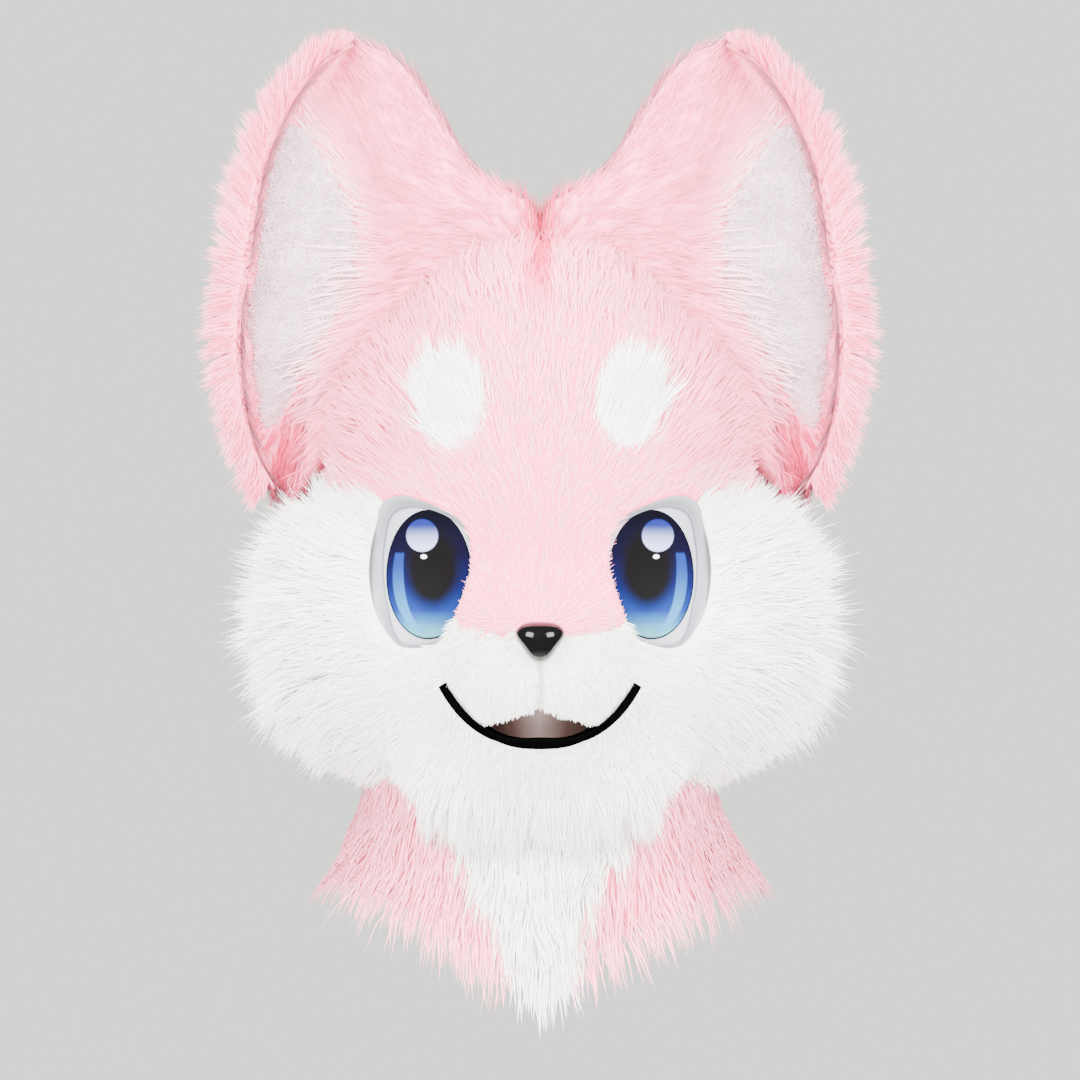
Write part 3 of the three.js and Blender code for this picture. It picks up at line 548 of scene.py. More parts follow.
# %% Tufts
BENT_ROOT = [[0, 4, 1], [0, 3, 4], [1, 5, 2], [1, 4, 5], [2, 3, 0], [2, 5, 3]]
BENT_SIDES = BENT_ROOT + [[3, 6, 4], [4, 6, 5], [5, 6, 3]]
STRAIGHT_SIDES = [[0, 3, 1], [1, 3, 2], [2, 3, 0]]
TUFT_TRIANGLES = {True: np.array(BENT_SIDES + [[0, 1, 2]]), False: np.array(STRAIGHT_SIDES + [[0, 1, 2]])}
# How far along the tuft each corner lies
ALONG = {True: np.array([0, 0, 0, 0.5, 0.5, 0.5, 1]), False: np.array([0, 0, 0, 1])}
LENGTH_LIMITS = (0.5, 1.5)
LIFT_LIMITS = (0.03, 1.4)
KEEL = 1.2
ROOT_DEPTH = 0.0005
TAPER = 0.8
SOFT_TILT = 0.2
TIP_TILT = 0.15


def tufts(roots, normals, groom, rng, wide, bent):
    """closed spikes on the roots; groom holds the way they fall, their length, lift, droop and tone"""
    count = len(roots)
    fall, length, lift, droop, tone = groom
    leaders, own, pull = locks(roots, rng, bent)
    common = rng.normal(size=(len(leaders), 3))[own]
    single = rng.normal(size=(count, 3))

    def varied(mean, what, lock_draw, own_draw):
        by_lock, by_tuft = VARY[what]
        return mean + by_lock * common[:, lock_draw] + by_tuft * single[:, own_draw]

    fall = unit(fall - normals * (fall * normals).sum(axis=1, keepdims=True))
    fall = turned(fall, normals, varied(0, "turn", 0, 0))
    length = (length * np.clip(varied(1, "length", 1, 1), *LENGTH_LIMITS))[:, None]
    lift = np.clip(lift * varied(1, "lift", 2, 2), *LIFT_LIMITS)[:, None]
    start = fall * np.cos(lift) + normals * np.sin(lift)
    end = unit(fall * np.cos(lift / 2) + normals * np.sin(lift / 2) - droop[:, None] * [[0, 0, 1]])
    middle = roots + start * length / 2
    tip = middle + end * length / 2
    lead = leaders[own]
    tip += (tip[lead] - tip) * pull * rng.random((count, 1))
    middle += (middle[lead] - roots[lead] - middle + roots) * pull / 2
    side = unit(np.cross(start, normals))
    half = wide * (0.7 + 0.6 * rng.random((count, 1))) / 2
    foot = [side * half, -side * half, -normals * half * KEEL]
    low = [roots + corner - normals * ROOT_DEPTH for corner in foot]
    high = [middle + corner * TAPER for corner in foot]
    soft = [unit(normals + side * SOFT_TILT), unit(normals - side * SOFT_TILT), -normals if bent else normals]
    if bent:
        bodies = np.stack([*low, *high, tip], axis=1)
        shading = np.stack([*soft, *soft, unit(normals + end * TIP_TILT)], axis=1)
    else:
        bodies = np.stack([*low, tip], axis=1)
        shading = np.stack([*soft, normals], axis=1)
    # The finish reads these: how far along the tuft, by which it paints shade at the root, the lock's own
    # tone, and the comb's depth of colour, which is painted shade in creases and hollows and the pile's own
    # colour elsewhere
    tint = np.zeros(bodies.shape)
    tint[:, :, 0] = ALONG[bent]
    tint[:, :, 1] = varied(0.5, "tone", 0, 2)[:, None]
    tint[:, :, 2] = tone[:, None]
    triangles = TUFT_TRIANGLES[bent] + (np.arange(count) * bodies.shape[1])[:, None, None]
    return bodies.reshape(-1, 3), triangles.reshape(-1, 3), shading.reshape(-1, 3), tint.reshape(-1, 3)


print("triangles in a bent tuft:", len(TUFT_TRIANGLES[True]), "in a straight one:", len(TUFT_TRIANGLES[False]))


# %% A whole coat on a backing
def coat(sheet, count, weight, comb, wide, seed):
    """a backing's whole pile: bent tufts where it is long, and straight ones where it is clipped short"""
    roots, normals, rng = scattered(sheet, count, weight, seed)
    groom = comb(roots, normals)
    long = groom[1] > LONG_PILE
    shortest, longest = groom[1].min() * 1000, groom[1].max() * 1000
    print(f"{count} roots with pile of {shortest:.0f} to {longest:.0f} mm, {long.sum()} of them bent")
    return [
        tufts(roots[kept], normals[kept], [part[kept] for part in groom], rng, wide, bent)
        for kept, bent in ((long, True), (~long, False))
        if kept.any()
    ]


# %% Cloth under the pile, and the finished panel
CLOTH = 0.0015


def cloth(bm, tone=0.5):
    """a backing sheet, given its thickness, as arrays"""
    sheet = bm.copy()
    sheet.normal_update()
    under = [(vertex, vertex.normal * CLOTH) for vertex in sheet.verts]
    bmesh.ops.extrude_face_region(sheet, geom=sheet.faces[:], use_keep_orig=True)
    for vertex, depth in under:
        vertex.co -= depth
    bmesh.ops.recalc_face_normals(sheet, faces=sheet.faces[:])
    bmesh.ops.triangulate(sheet, faces=sheet.faces[:])
    sheet.normal_update()
    sheet.verts.index_update()
    points = coordinates(sheet)
    normals = np.array([v.normal for v in sheet.verts])
    triangles = np.array([[v.index for v in f.verts] for f in sheet.faces])
    sheet.free()
    return points, triangles, normals, np.tile([0.0, 0.5, tone], (len(points), 1))


def panel(name, parts, material, nodes):
    """one object from arrays of points, triangles, shading normals and tints"""
    starts = np.cumsum([0] + [len(part[0]) for part in parts])
    points = np.vstack([part[0] for part in parts])
    triangles = np.vstack([part[1] + start for part, start in zip(parts, starts)])
    normals = np.vstack([part[2] for part in parts])
    tints = np.vstack([part[3] for part in parts])
    mesh = bpy.data.meshes.new(name)
    mesh.vertices.add(len(points))
    mesh.vertices.foreach_set("co", points.astype(np.float32).ravel())
    mesh.loops.add(triangles.size)
    mesh.loops.foreach_set("vertex_index", triangles.astype(np.int32).ravel())
    mesh.polygons.add(len(triangles))
    mesh.polygons.foreach_set("loop_start", np.arange(0, triangles.size, 3, dtype=np.int32))
    mesh.polygons.foreach_set("use_smooth", np.ones(len(triangles), dtype=bool))
    mesh.update(calc_edges=True)
    colours = mesh.color_attributes.new("tint", "FLOAT_COLOR", "POINT")
    values = np.column_stack([tints, np.ones(len(tints))]).astype(np.float32)
    colours.data.foreach_set("color", values.ravel())
    mesh.normals_split_custom_set_from_vertices(normals.tolist())
    return finished(name, mesh, material, nodes)


def finished(name, mesh, material, nodes):
    """a piece with its finish, which rides with the head and stands for measured nodes"""
    piece = in_scene(name, mesh)
    mesh.materials.append(material)
    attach(piece, "root")
    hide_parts(*nodes)
    print(f"{name}: {len(mesh.polygons)} faces")
    return piece


# %% [markdown]
# ## Finishes
# Pink, white and plush pile share one way of colouring, so it is a node group: deeper at the root and paler at
# the tip, which is painted shade down in the pile, a little different from lock to lock, and deeper where a
# tone says so, which is painted shade in creases and hollows and the pile's own deeper colour elsewhere. Only
# colours leave the group.

# %% Node helpers
def node(tree, kind, values=(), **settings):
    """a node with its settings, and its inputs set to values or linked to other nodes"""
    made = tree.nodes.new(kind)
    for key, value in settings.items():
        setattr(made, key, value)
    for key, value in dict(values).items():
        if isinstance(value, bpy.types.NodeSocket):
            tree.links.new(value, made.inputs[key])
        else:
            made.inputs[key].default_value = value
    return made


def maths(tree, operation, *inputs, clamp=False):
    return node(tree, "ShaderNodeMath", enumerate(inputs), operation=operation, use_clamp=clamp).outputs[0]


def blended(tree, share, a, b, how="MIX"):
    settings = {"data_type": "RGBA", "blend_type": how, "clamp_result": False}
    return node(tree, "ShaderNodeMix", {0: share, 6: a, 7: b}, **settings).outputs[2]


def object_place(tree):
    """the coordinates that every pattern is drawn in"""
    return node(tree, "ShaderNodeTexCoord").outputs["Object"]


def noise(tree, scale, detail, roughness=0.5):
    values = {"Vector": object_place(tree), "Scale": scale, "Detail": detail, "Roughness": roughness}
    return node(tree, "ShaderNodeTexNoise", values).outputs["Fac"]


def raised(tree, shader, height, strength, depth):
    """relief on a finish"""
    bump = node(tree, "ShaderNodeBump", {"Height": height, "Strength": strength, "Distance": depth})
    tree.links.new(bump.outputs["Normal"], shader.inputs["Normal"])


def coloured(tree, shader, colour):
    tree.links.new(colour, shader.inputs["Base Color"])


def rgb(*parts):
    return (*parts, 1.0)


def group(name, inputs, outputs):
    """a new node group, with what it is given and what it puts out"""
    made = bpy.data.node_groups.new(name, "ShaderNodeTree")
    for label, kind, value in inputs:
        socket = made.interface.new_socket(name=label, in_out="INPUT", socket_type=kind)
        if value is not None:
            socket.default_value = value
    for label, kind in outputs:
        made.interface.new_socket(name=label, in_out="OUTPUT", socket_type=kind)
    return made, made.nodes.new("NodeGroupInput").outputs, made.nodes.new("NodeGroupOutput").inputs


def material(name, colour=None, **values):
    """a material, its nodes and its shader"""
    made = bpy.data.materials.new(name)
    made.use_nodes = True
    shader = made.node_tree.nodes["Principled BSDF"]
    for key, value in values.items():
        shader.inputs[key.replace("_", " ")].default_value = value
    if colour:
        shader.inputs["Base Color"].default_value = colour
        made.diffuse_color = colour
    return made, made.node_tree, shader


# %% Pile colours
COLOUR = "NodeSocketColor"
FLOAT = "NodeSocketFloat"
VECTOR = "NodeSocketVector"

pile_tree, given, put = group(
    "pile_colour",
    [("Root", COLOUR, None), ("Tip", COLOUR, None), ("Deep", COLOUR, None), ("Pale", COLOUR, None)]
    + [("Variation", FLOAT, 0.1), ("Clouds", FLOAT, 0.1)],
    [("Color", COLOUR)],
)
tint = node(pile_tree, "ShaderNodeAttribute", attribute_name="tint")
parts = node(pile_tree, "ShaderNodeSeparateColor", {"Color": tint.outputs["Color"]})
along, lock_tone, tone = parts.outputs
rise = maths(pile_tree, "POWER", along, 0.6)
# Deeper at the root than at the tip: painted shade down in the pile
plain = blended(pile_tree, rise, given["Root"], given["Tip"])
# The comb's tone takes the colour towards the deeper one: painted shade in creases and hollows, and the pile's
# own deeper colour elsewhere
toned = blended(pile_tree, tone, plain, given["Deep"])
toned = blended(pile_tree, maths(pile_tree, "MULTIPLY", tone, -1.0), toned, given["Pale"])
from_middle = maths(pile_tree, "SUBTRACT", lock_tone, 0.5)
swing = maths(pile_tree, "MULTIPLY_ADD", from_middle, given["Variation"], 1.0)
clouds = maths(pile_tree, "MULTIPLY", noise(pile_tree, 34.0, 3.0), given["Clouds"])
swing = maths(pile_tree, "SUBTRACT", swing, clouds)
level = node(pile_tree, "ShaderNodeCombineColor", {0: swing, 1: swing, 2: swing})
pile_tree.links.new(blended(pile_tree, 1.0, toned, level.outputs[0], "MULTIPLY"), put["Color"])


def pile(name, root, tip, deep, pale, variation=0.12, clouds=0.04, sheen=0.1):
    """a soft finish whose colours come from the tufts' own tint"""
    made, tree, shader = material(
        name, tip, Roughness=0.85, Sheen_Weight=sheen, Sheen_Roughness=0.5, Specular_IOR_Level=0.15
    )
    levels = {"Root": root, "Tip": tip, "Deep": deep, "Pale": pale, "Variation": variation, "Clouds": clouds}
    coloured(tree, shader, node(tree, "ShaderNodeGroup", levels, node_tree=pile_tree).outputs["Color"])
    return made


# Each root colour is deeper than its tip for painted shade down in the pile. The deeper colours give the
# pile's own deeper colour where the tone is even, and painted shade where it rises in creases and hollows
PALE = rgb(0.95, 0.84, 0.86)
PINK = pile("pink_pile", rgb(0.985, 0.27, 0.40), rgb(0.99, 0.37, 0.49), rgb(0.79, 0.02, 0.12), PALE)
WHITE_DEEP_AND_SHADE = rgb(0.40, 0.36, 0.32)
WHITE = pile("white_pile", rgb(0.92, 0.92, 0.89), rgb(0.94, 0.94, 0.92), WHITE_DEEP_AND_SHADE, PALE, 0.10, 0.03)
PLUSH_SEAM_SHADE = rgb(0.95, 0.12, 0.22)
PLUSH = pile("ear_plush", rgb(0.84, 0.52, 0.64), rgb(0.93, 0.74, 0.81), PLUSH_SEAM_SHADE, PALE, 0.45, 0.5)
print("pile finishes:", PINK.name, WHITE.name, PLUSH.name)

# %% [markdown]
# ## How the fur is combed
# The pile lies away from the nose: up the bridge, out over the cheeks and down the chin. It is clipped to a
# few millimetres on the muzzle and grows to six centimetres at the ruff. The comb is a function that gives
# each root the way it falls, its length, how far it stands up, how much it droops, and how deep its colour
# is: painted shade in the creases and hollows, and the pile's own deeper colour elsewhere.

# %% Zones of the head, and what each does to the pile
NOSE_POINT = np.array([0, -0.175, -0.225])
FOREHEAD = np.array([0, -0.09])
# What each zone adds to the pile's length, lift, droop, fall downwards and depth of colour; the depth of
# colour round the forehead and at the crease is painted shade
HEAD_PILE = {
    "everywhere": (0.008, 0.24, 0, 0, 0),
    "far from the nose": (0.011, 0, 0, 0, 0),
    "upper side": (0, 0, 0, 0.35, 0),
    "back": (0.010, 0.1, 0.15, 1.1, 0),
    "top": (0.010, 0.15, 0, 0, 0),
    "temple": (0.026, 0.22, 0, 0, 0),
    "ruff": (0.042, 0.3, 0, 0, 0),
    "low ruff": (0, 0, 0.6, 0, 0),
    "nape": (0, 0, 0.6, 0, 0),
    # Deeper all round the forehead's middle and in the crease between the ears: painted shade
    "round the forehead": (0, 0, 0, 0, 0.35),
    "crease": (0, 0, 0, 0, 1),
    "brow": (0, 0, 0, 0, -1.1),
}
print(len(HEAD_PILE), "zones:", ", ".join(HEAD_PILE))


def head_zones(points):
    """how fully each place lies in each zone, from 0 to 1"""
    out, y, z = np.abs(points[:, 0]), points[:, 1], points[:, 2]
    back = smooth_step(0.0, 0.09, y)
    front = 1 - back
    upper_side = smooth_step(0.06, 0.14, out) * smooth_step(-0.15, -0.1, z)
    ruff = smooth_step(0.085, 0.165, out + 0.5 * np.maximum(-0.3 - z, 0)) * (1 - smooth_step(-0.17, -0.14, z))
    ruff = ruff * (1 - 0.5 * smooth_step(-0.27, -0.33, z))
    from_forehead = np.linalg.norm(points[:, [0, 2]] - FOREHEAD, axis=1)
    return {
        "everywhere": np.ones(len(points)),
        "far from the nose": smooth_step(0.05, 0.19, np.linalg.norm(points - NOSE_POINT, axis=1)),
        "upper side": upper_side,
        "back": back,
        "top": front * smooth_step(-0.045, -0.005, z),
        "temple": front * upper_side * (1 - smooth_step(-0.06, -0.02, z)),
        "ruff": ruff,
        "low ruff": ruff * smooth_step(-0.19, -0.31, z),
        "nape": back * smooth_step(-0.22, -0.3, z),
        "round the forehead": front * smooth_step(0.055, 0.12, from_forehead) * (z > -0.13),
        "crease": front * (1 - smooth_step(0.001, 0.015, out)) * smooth_step(-0.055, 0.0, z),
        "brow": (1 - smooth_step(0.95, 1.5, from_brow(points))) * (y < 0),
    }


# %% The comb for the head
CREASE_SHORTER = 0.3
OVER_EYE = 0.35
EYE_MARGIN = 0.0015


def clear_of_eyes(points, fall, length):
    """shorter where a tuft would hang far over an eye"""
    tip = points + unit(fall) * length[:, None]
    over = within(folded(tip), eye_outline(EYE_MARGIN)) & (points[:, 1] < 0)
    return np.where(over, OVER_EYE * length, length)


def away_from_nose(points, down):
    """the way the pile falls, from the nose outward and then down"""
    return unit(points - NOSE_POINT) - np.outer(down, [0, 0, 1])


def comb_head(points, normals):
    """the pile of crown and cheeks, from what their zones add"""
    zones = head_zones(points)
    length, lift, droop, down, tone = sum(np.outer(added, zones[name]) for name, added in HEAD_PILE.items())
    fall = away_from_nose(points, down)
    length = length * (1 - CREASE_SHORTER * zones["crease"])
    return fall, clear_of_eyes(points, fall, length), lift, droop, np.clip(tone, -0.9, 1)


def comb_brow(points, normals):
    """as the head's, with a feathered edge"""
    fall, length, lift, droop, tone = comb_head(points, normals)
    stray = np.random.default_rng(7).random(len(points))
    feather = smooth_step(0.5, 1.0, from_brow(points))
    return fall, length * (1 + feather * (stray - 0.3)), lift, droop, 0 * tone


# %% The combs for the muzzle and the chin
MUZZLE_PILE = 0.0065
MOUTH_SHORTER = 0.004
# How strongly painted shade deepens the groove under the nose
GROOVE_SHADE = 0.7
CHIN_PILE = 0.008
CHIN_LONGER = 0.026


def comb_muzzle(points, normals):
    """clipped, shortest at the mouth, with painted shade in a groove under the nose"""
    count = len(points)
    by_mouth_edge = 1 - smooth_step(0.002, 0.010, nearest(points[:, [0, 2]], mouth_outline)[1])
    groove = (1 - smooth_step(0.0008, 0.0035, np.abs(points[:, 0]))) * (points[:, 2] < NOSE[1])
    length = MUZZLE_PILE - MOUTH_SHORTER * by_mouth_edge
    fall = away_from_nose(points, np.full(count, 0.8))
    return fall, length, np.full(count, 0.35), np.full(count, 0.2), GROOVE_SHADE * groove


def comb_chin(points, normals):
    """longer and hanging below the jaw"""
    low = smooth_step(-0.3, -0.335, points[:, 2])
    fall = away_from_nose(points, np.full(len(points), 0.6))
    return fall, CHIN_PILE + CHIN_LONGER * low, 0.3 + 0.15 * low, 0.5 * low, np.zeros(len(points))


# %% Grow the head's panels
# Node, finish, slot, number of tufts, width of a tuft at its root, and comb
PANELS = {
    "crown": ("crown_fur", PINK, "pink", 16600, 0.0009, comb_head),
    "brow_left": ("brow_patch_left", WHITE, "white", 2200, 0.0007, comb_brow),
    "brow_right": ("brow_patch_right", WHITE, "white", 2200, 0.0007, comb_brow),
    "cheek_left": ("cheek_fur_left", WHITE, "white", 14200, 0.0008, comb_head),
    "cheek_right": ("cheek_fur_right", WHITE, "white", 14200, 0.0008, comb_head),
    "muzzle": ("muzzle_fur", WHITE, "white", 11000, 0.0006, comb_muzzle),
    "chin": ("chin_fur", WHITE, "white", 7500, 0.0008, comb_chin),
}
FACE_MORE = 1.2
BACK_FEWER = 0.6


def even(points):
    """roots spread evenly"""
    return np.ones(len(points))


def facing_more(points):
    """more roots where the face is seen close and the pile is short, and fewer at the back"""
    near = 1 - smooth_step(0.08, 0.2, np.linalg.norm(points - NOSE_POINT, axis=1))
    return 1 + FACE_MORE * near - BACK_FEWER * smooth_step(0.02, 0.06, points[:, 1])


for index, region in enumerate(REGIONS):
    node_name, finish, slot_name, count, wide, comb = PANELS[region]
    sheet = whole.copy()
    cut_away(sheet, labels != index)
    grown = coat(sheet, count, facing_more, comb, wide, seed=10 + index)
    panel(f"{node_name}_pile", [cloth(sheet), *grown], finish, [node_name])
    sheet.free()
whole.free()

# %% [markdown]
# ## Ears
# Each ear is a thick, soft shell: a rounded fold of pink fur on the inner side, a cup lined with short white
# plush, and a rim that curls forward. A flat grid is bent round the cross-section and drawn up the rows of
# the pattern, which is quicker to shape than pushing a lump about. The rim's ridge is narrow, so scattered
# tufts would pierce it or leave it bare: it gets strands of its own, all rooted along its front.

# %% Sheets from a bent grid
def bent_grid(columns, rows, place):
    """a grid of columns by rows cells whose corners go where place says, for shares across and up"""
    bm = bmesh.new()
    bmesh.ops.create_grid(bm, x_segments=columns, y_segments=rows, size=1)
    flat = (coordinates(bm)[:, :2] + 1) / 2
    move_to(bm, place(flat[:, 0], flat[:, 1]))
    bmesh.ops.remove_doubles(bm, verts=bm.verts[:], dist=1e-5)
    return bm


def looks(bm):
    """the way each face looks"""
    bm.normal_update()
    return np.array([f.normal for f in bm.faces])


def face_out(bm, outward=towards_viewer):
    """turns a sheet round if its faces look the wrong way"""
    if (looks(bm) * outward(centres(bm))).sum() < 0:
        bmesh.ops.reverse_faces(bm, faces=bm.faces[:])
    bm.normal_update()


def mesh_of(bm, name):
    """a smooth-shaded mesh, after which its bmesh is gone"""
    mesh = bpy.data.meshes.new(name)
    bm.to_mesh(mesh)
    bm.free()
    mesh.polygons.foreach_set("use_smooth", np.ones(len(mesh.polygons), dtype=bool))
    return mesh


# %% The ear's pattern
EAR_TALL = 0.300
EAR_LOW = -0.140
EAR_REACH = 0.214
EAR_DEEP = 0.070
EAR_LEAN = 0.016
EAR_INSET = 0.011
TIP_INSET = 0.008
SADDLE_INSET = 0.0005
# The cross-section, across and back, as shares of the ear's reach and depth
FOLD_AND_CUP = [[0, 0.07], [0.07, -0.2], [0.3, -0.26], [0.56, 0.08], [0.75, 0.26], [0.93, 0.2]]
RIDGE = [[0.945, -0.12], [0.972, -0.24], [1, -0.06]]
EAR_BACK = [[0.97, 0.16], [0.88, 0.5], [0.72, 0.64], [0.56, 0.66], [0.3, 0.56], [0.07, 0.34]]
# Rows from the foot to the tip: height, inner edge, outer edge and depth, as shares
EAR_ROWS = np.array(
    [
        [0, 0.66, 0.86, 0.55],
        [0.1, 0.54, 0.935, 0.8],
        [0.22, 0.4, 0.98, 1],
        [0.38, 0.18, 1, 1],
        [0.5, 0.008, 0.985, 1],
        [0.62, 0.008, 0.965, 1],
        [0.69, 0.105, 0.94, 0.94],
        [0.77, 0.195, 0.9, 0.84],
        [0.86, 0.275, 0.835, 0.7],
        [0.93, 0.34, 0.76, 0.54],
        [0.975, 0.41, 0.685, 0.36],
        [1, 0.5, 0.62, 0.18],
    ]
)
PLUSH_OUTER = [[0.83, 0.14], [0.872, 0.26], [0.89, 0.42], [0.87, 0.58], [0.83, 0.7], [0.765, 0.8]]
PLUSH_INNER = [[0.68, 0.73], [0.575, 0.6], [0.58, 0.46], [0.68, 0.32]]
ear_profile = ring(smooth_line(FOLD_AND_CUP + RIDGE + EAR_BACK, 200))
ear_rows = smooth_line(EAR_ROWS, 80, closed=False)
plush_outline = smooth_line(np.array(PLUSH_OUTER + PLUSH_INNER) * [EAR_REACH, EAR_TALL] + [0, EAR_LOW], 100)


def ear_place(around, up):
    """the ear for the wearer's left: around the cross-section and up the rows"""
    across, back = along_line(ear_profile, around).T
    height, inner, outer, depth = along_line(ear_rows, up).T
    inner = inner * EAR_REACH + SADDLE_INSET + (EAR_INSET - SADDLE_INSET) * smooth_step(0.02, 0.12, inner)
    outer = outer * EAR_REACH - EAR_INSET
    x = inner + (outer - inner) * across
    y = back * depth * EAR_DEEP + height * EAR_LEAN
    return np.column_stack([x, y, height * (EAR_TALL - TIP_INSET) + EAR_LOW])


print("ear pattern:", len(ear_profile), "points round,", len(ear_rows), "rows")
print("plush", np.ptp(plush_outline, axis=0).round(4) * 1000, "mm")


# %% The ear's shell
def ear_shell():
    """the whole ear, closed at its foot and tip"""
    bm = bent_grid(88, 64, ear_place)
    bmesh.ops.holes_fill(bm, edges=[e for e in bm.edges if e.is_boundary], sides=0)
    bmesh.ops.recalc_face_normals(bm, faces=bm.faces[:])
    bmesh.ops.triangulate(bm, faces=bm.faces[:])
    return bm


CUP_LOOKS = -0.1
HOLLOW_LOOKS = -0.5


def on_cup(points, normals):
    """which places belong to the plush"""
    open_side = (normals[:, 1] < CUP_LOOKS) & (normals[:, 0] > HOLLOW_LOOKS)
    return within(points[:, [0, 2]], plush_outline) & open_side


# %% The ear's combs
CUP = np.array([0.155, 0.02, -0.01])
COMB_HEIGHTS = [-0.08, 0.02, 0.09]
COMB_ANGLES = [-0.6, 0.15, 0.95]
TO_THE_PARTING = 0.8
OUTER_FROM = 0.150
OUTER_LEAN = 0.1
EAR_PILE = 0.0185
RIM_PILE = 0.021
OVER_CUP = 0.0225
OVER_CUP_SHORTER = 0.005
HOLLOW_PILE = 0.005
EAR_TONE = 0.55
PALE_BY_CUP = 1.1
PLUSH_PILE = 0.006
PLUSH_SEAM = 0.4


def cup_gap(points):
    """how far places lie from the plush's seam in the front view"""
    return nearest(points[:, [0, 2]], plush_outline)[1]


def comb_ear(points, normals):
    """down and out at the ear's foot, up to the tip above, and straight out along the rim"""
    x, z = points[:, 0], points[:, 2]
    count = len(points)
    parting = TO_THE_PARTING * (1 - smooth_step(0.012, 0.05, x)) * (z > 0)
    angle = np.interp(z, COMB_HEIGHTS, COMB_ANGLES) + parting
    fan = np.column_stack([np.cos(angle), np.zeros(count), np.sin(angle)])
    outer = x > OUTER_FROM + OUTER_LEAN * np.maximum(z - 0.05, 0)
    fall = np.where(outer[:, None], unit((points - CUP) * [1, 0.3, 0.6]), fan)
    front = normals[:, 1] < 0
    gap = cup_gap(points)
    hollow = outer & front & (normals[:, 0] < HOLLOW_LOOKS)
    stray = 0.6 + 0.8 * np.random.default_rng(6).random(count)
    over_cup = stray * (OVER_CUP - OVER_CUP_SHORTER * smooth_step(0.0, 0.05, z))
    length = np.where(outer & (gap < 0.035), RIM_PILE, EAR_PILE)
    length = np.where(front & ~outer & (gap < 0.016), over_cup, length)
    length = np.where(hollow, HOLLOW_PILE, length)
    saddle = front * (1 - smooth_step(0.003, 0.020, x)) * (z < 0.055)
    foot = front * smooth_step(-0.07, -0.1, z) * smooth_step(0.14, 0.16, x)
    # Deeper in the rim's hollow, in the saddle between the ears and at the ear's foot: painted shade in these
    # creases
    tone = EAR_TONE + 0.45 * hollow + 0.45 * saddle + 0.4 * foot
    tone = tone - PALE_BY_CUP * (1 - smooth_step(0.0, 0.034, gap)) * (front & ~outer)
    return fall, length, np.full(count, 0.3), np.zeros(count), np.clip(tone, -0.7, 1)


def comb_plush(points, normals):
    """short and nearly upright, brushed a little up and out, pinker at the outer seam with painted shade in
    its crease
    """
    count = len(points)
    fall = np.random.default_rng(5).normal(size=(count, 3)) + [0.6, 0, 0.5]
    # Pinker along the outer seam: painted shade in the crease where rim and plush meet
    seam = (1 - smooth_step(0.0, 0.007, cup_gap(points))) * (points[:, 0] > 0.165)
    return fall, np.full(count, PLUSH_PILE), np.full(count, 0.8), np.zeros(count), PLUSH_SEAM * seam


# %% The rim's own strands
RIM_TUFTS = 5300
RIM_WIDE = 0.0010
# An ear's width and depth at half its height, which give the way that its cross-section faces
SECTION_SIZE = np.array([0.16, 0.056])
RIDGE_FROM = 0.93
RIDGE_LOOKS = -0.35
RIM_END = (0.122, 0.155)
RIM_INNER_LONGER = 0.006


def ridge_span():
    """the part of the cross-section that is the front of the ridge beside the cup"""
    along = unit(np.gradient(ear_profile * SECTION_SIZE, axis=0))
    across, back = ear_profile.T
    ridge = np.flatnonzero((across > RIDGE_FROM) & (back < 0) & (-along[:, 0] < RIDGE_LOOKS))
    return ridge[0] / (len(ear_profile) - 1), ridge[-1] / (len(ear_profile) - 1)


def rim_coat(seed):
    """long soft strands on the ridge's front, combed outward over it, more upright inside and deeper there
    with painted shade
    """
    rng = np.random.default_rng(seed)
    first, last = ridge_span()
    inner = rng.random(RIM_TUFTS) ** 0.85
    roots = ear_place(last - (last - first) * inner, rng.uniform(0.03, 0.97, RIM_TUFTS))
    kept = (foam(roots) > 0.001) & (roots[:, 0] > RIM_END[0])
    roots, inner = roots[kept], inner[kept]
    fall = unit((roots - CUP) * [1, 0.1, 0.6])
    normals = unit(fall * 0.35 + FORWARD)
    normals = unit(normals - fall * (normals * fall).sum(axis=1, keepdims=True))
    length = (0.018 + RIM_INNER_LONGER * inner) * (0.45 + 0.55 * smooth_step(*RIM_END, roots[:, 0]))
    # Deeper towards the inner wall: painted shade in the hollow beside the cup
    groom = [fall, length, 0.2 + 0.5 * inner, np.zeros(len(roots)), 0.08 + 0.8 * inner**2]
    print(f"rim: {len(roots)} strands between {first:.3f} and {last:.3f} of the way round the cross-section")
    return tufts(roots, normals, groom, rng, RIM_WIDE, True)


# %% Grow the ears
EAR_TUFTS = 11200
PLUSH_TUFTS = 7200
EAR_WIDE = 0.0011
PLUSH_RISE = 0.0006
BURIED = 0.004


def flipped_side(arrays):
    """the same panel on the other side, with its triangles turned round"""
    points, triangles, normals, tints = arrays
    return points * LEFT_TO_RIGHT, triangles[:, ::-1], normals * LEFT_TO_RIGHT, tints


def rim_more(points):
    """none inside the head, and more along the rim, whose pile makes the ear's outline"""
    rim = (points[:, 0] > 0.15) & (cup_gap(points) < 0.03)
    return (foam(points) > 0.0) * (1 + 0.8 * rim)


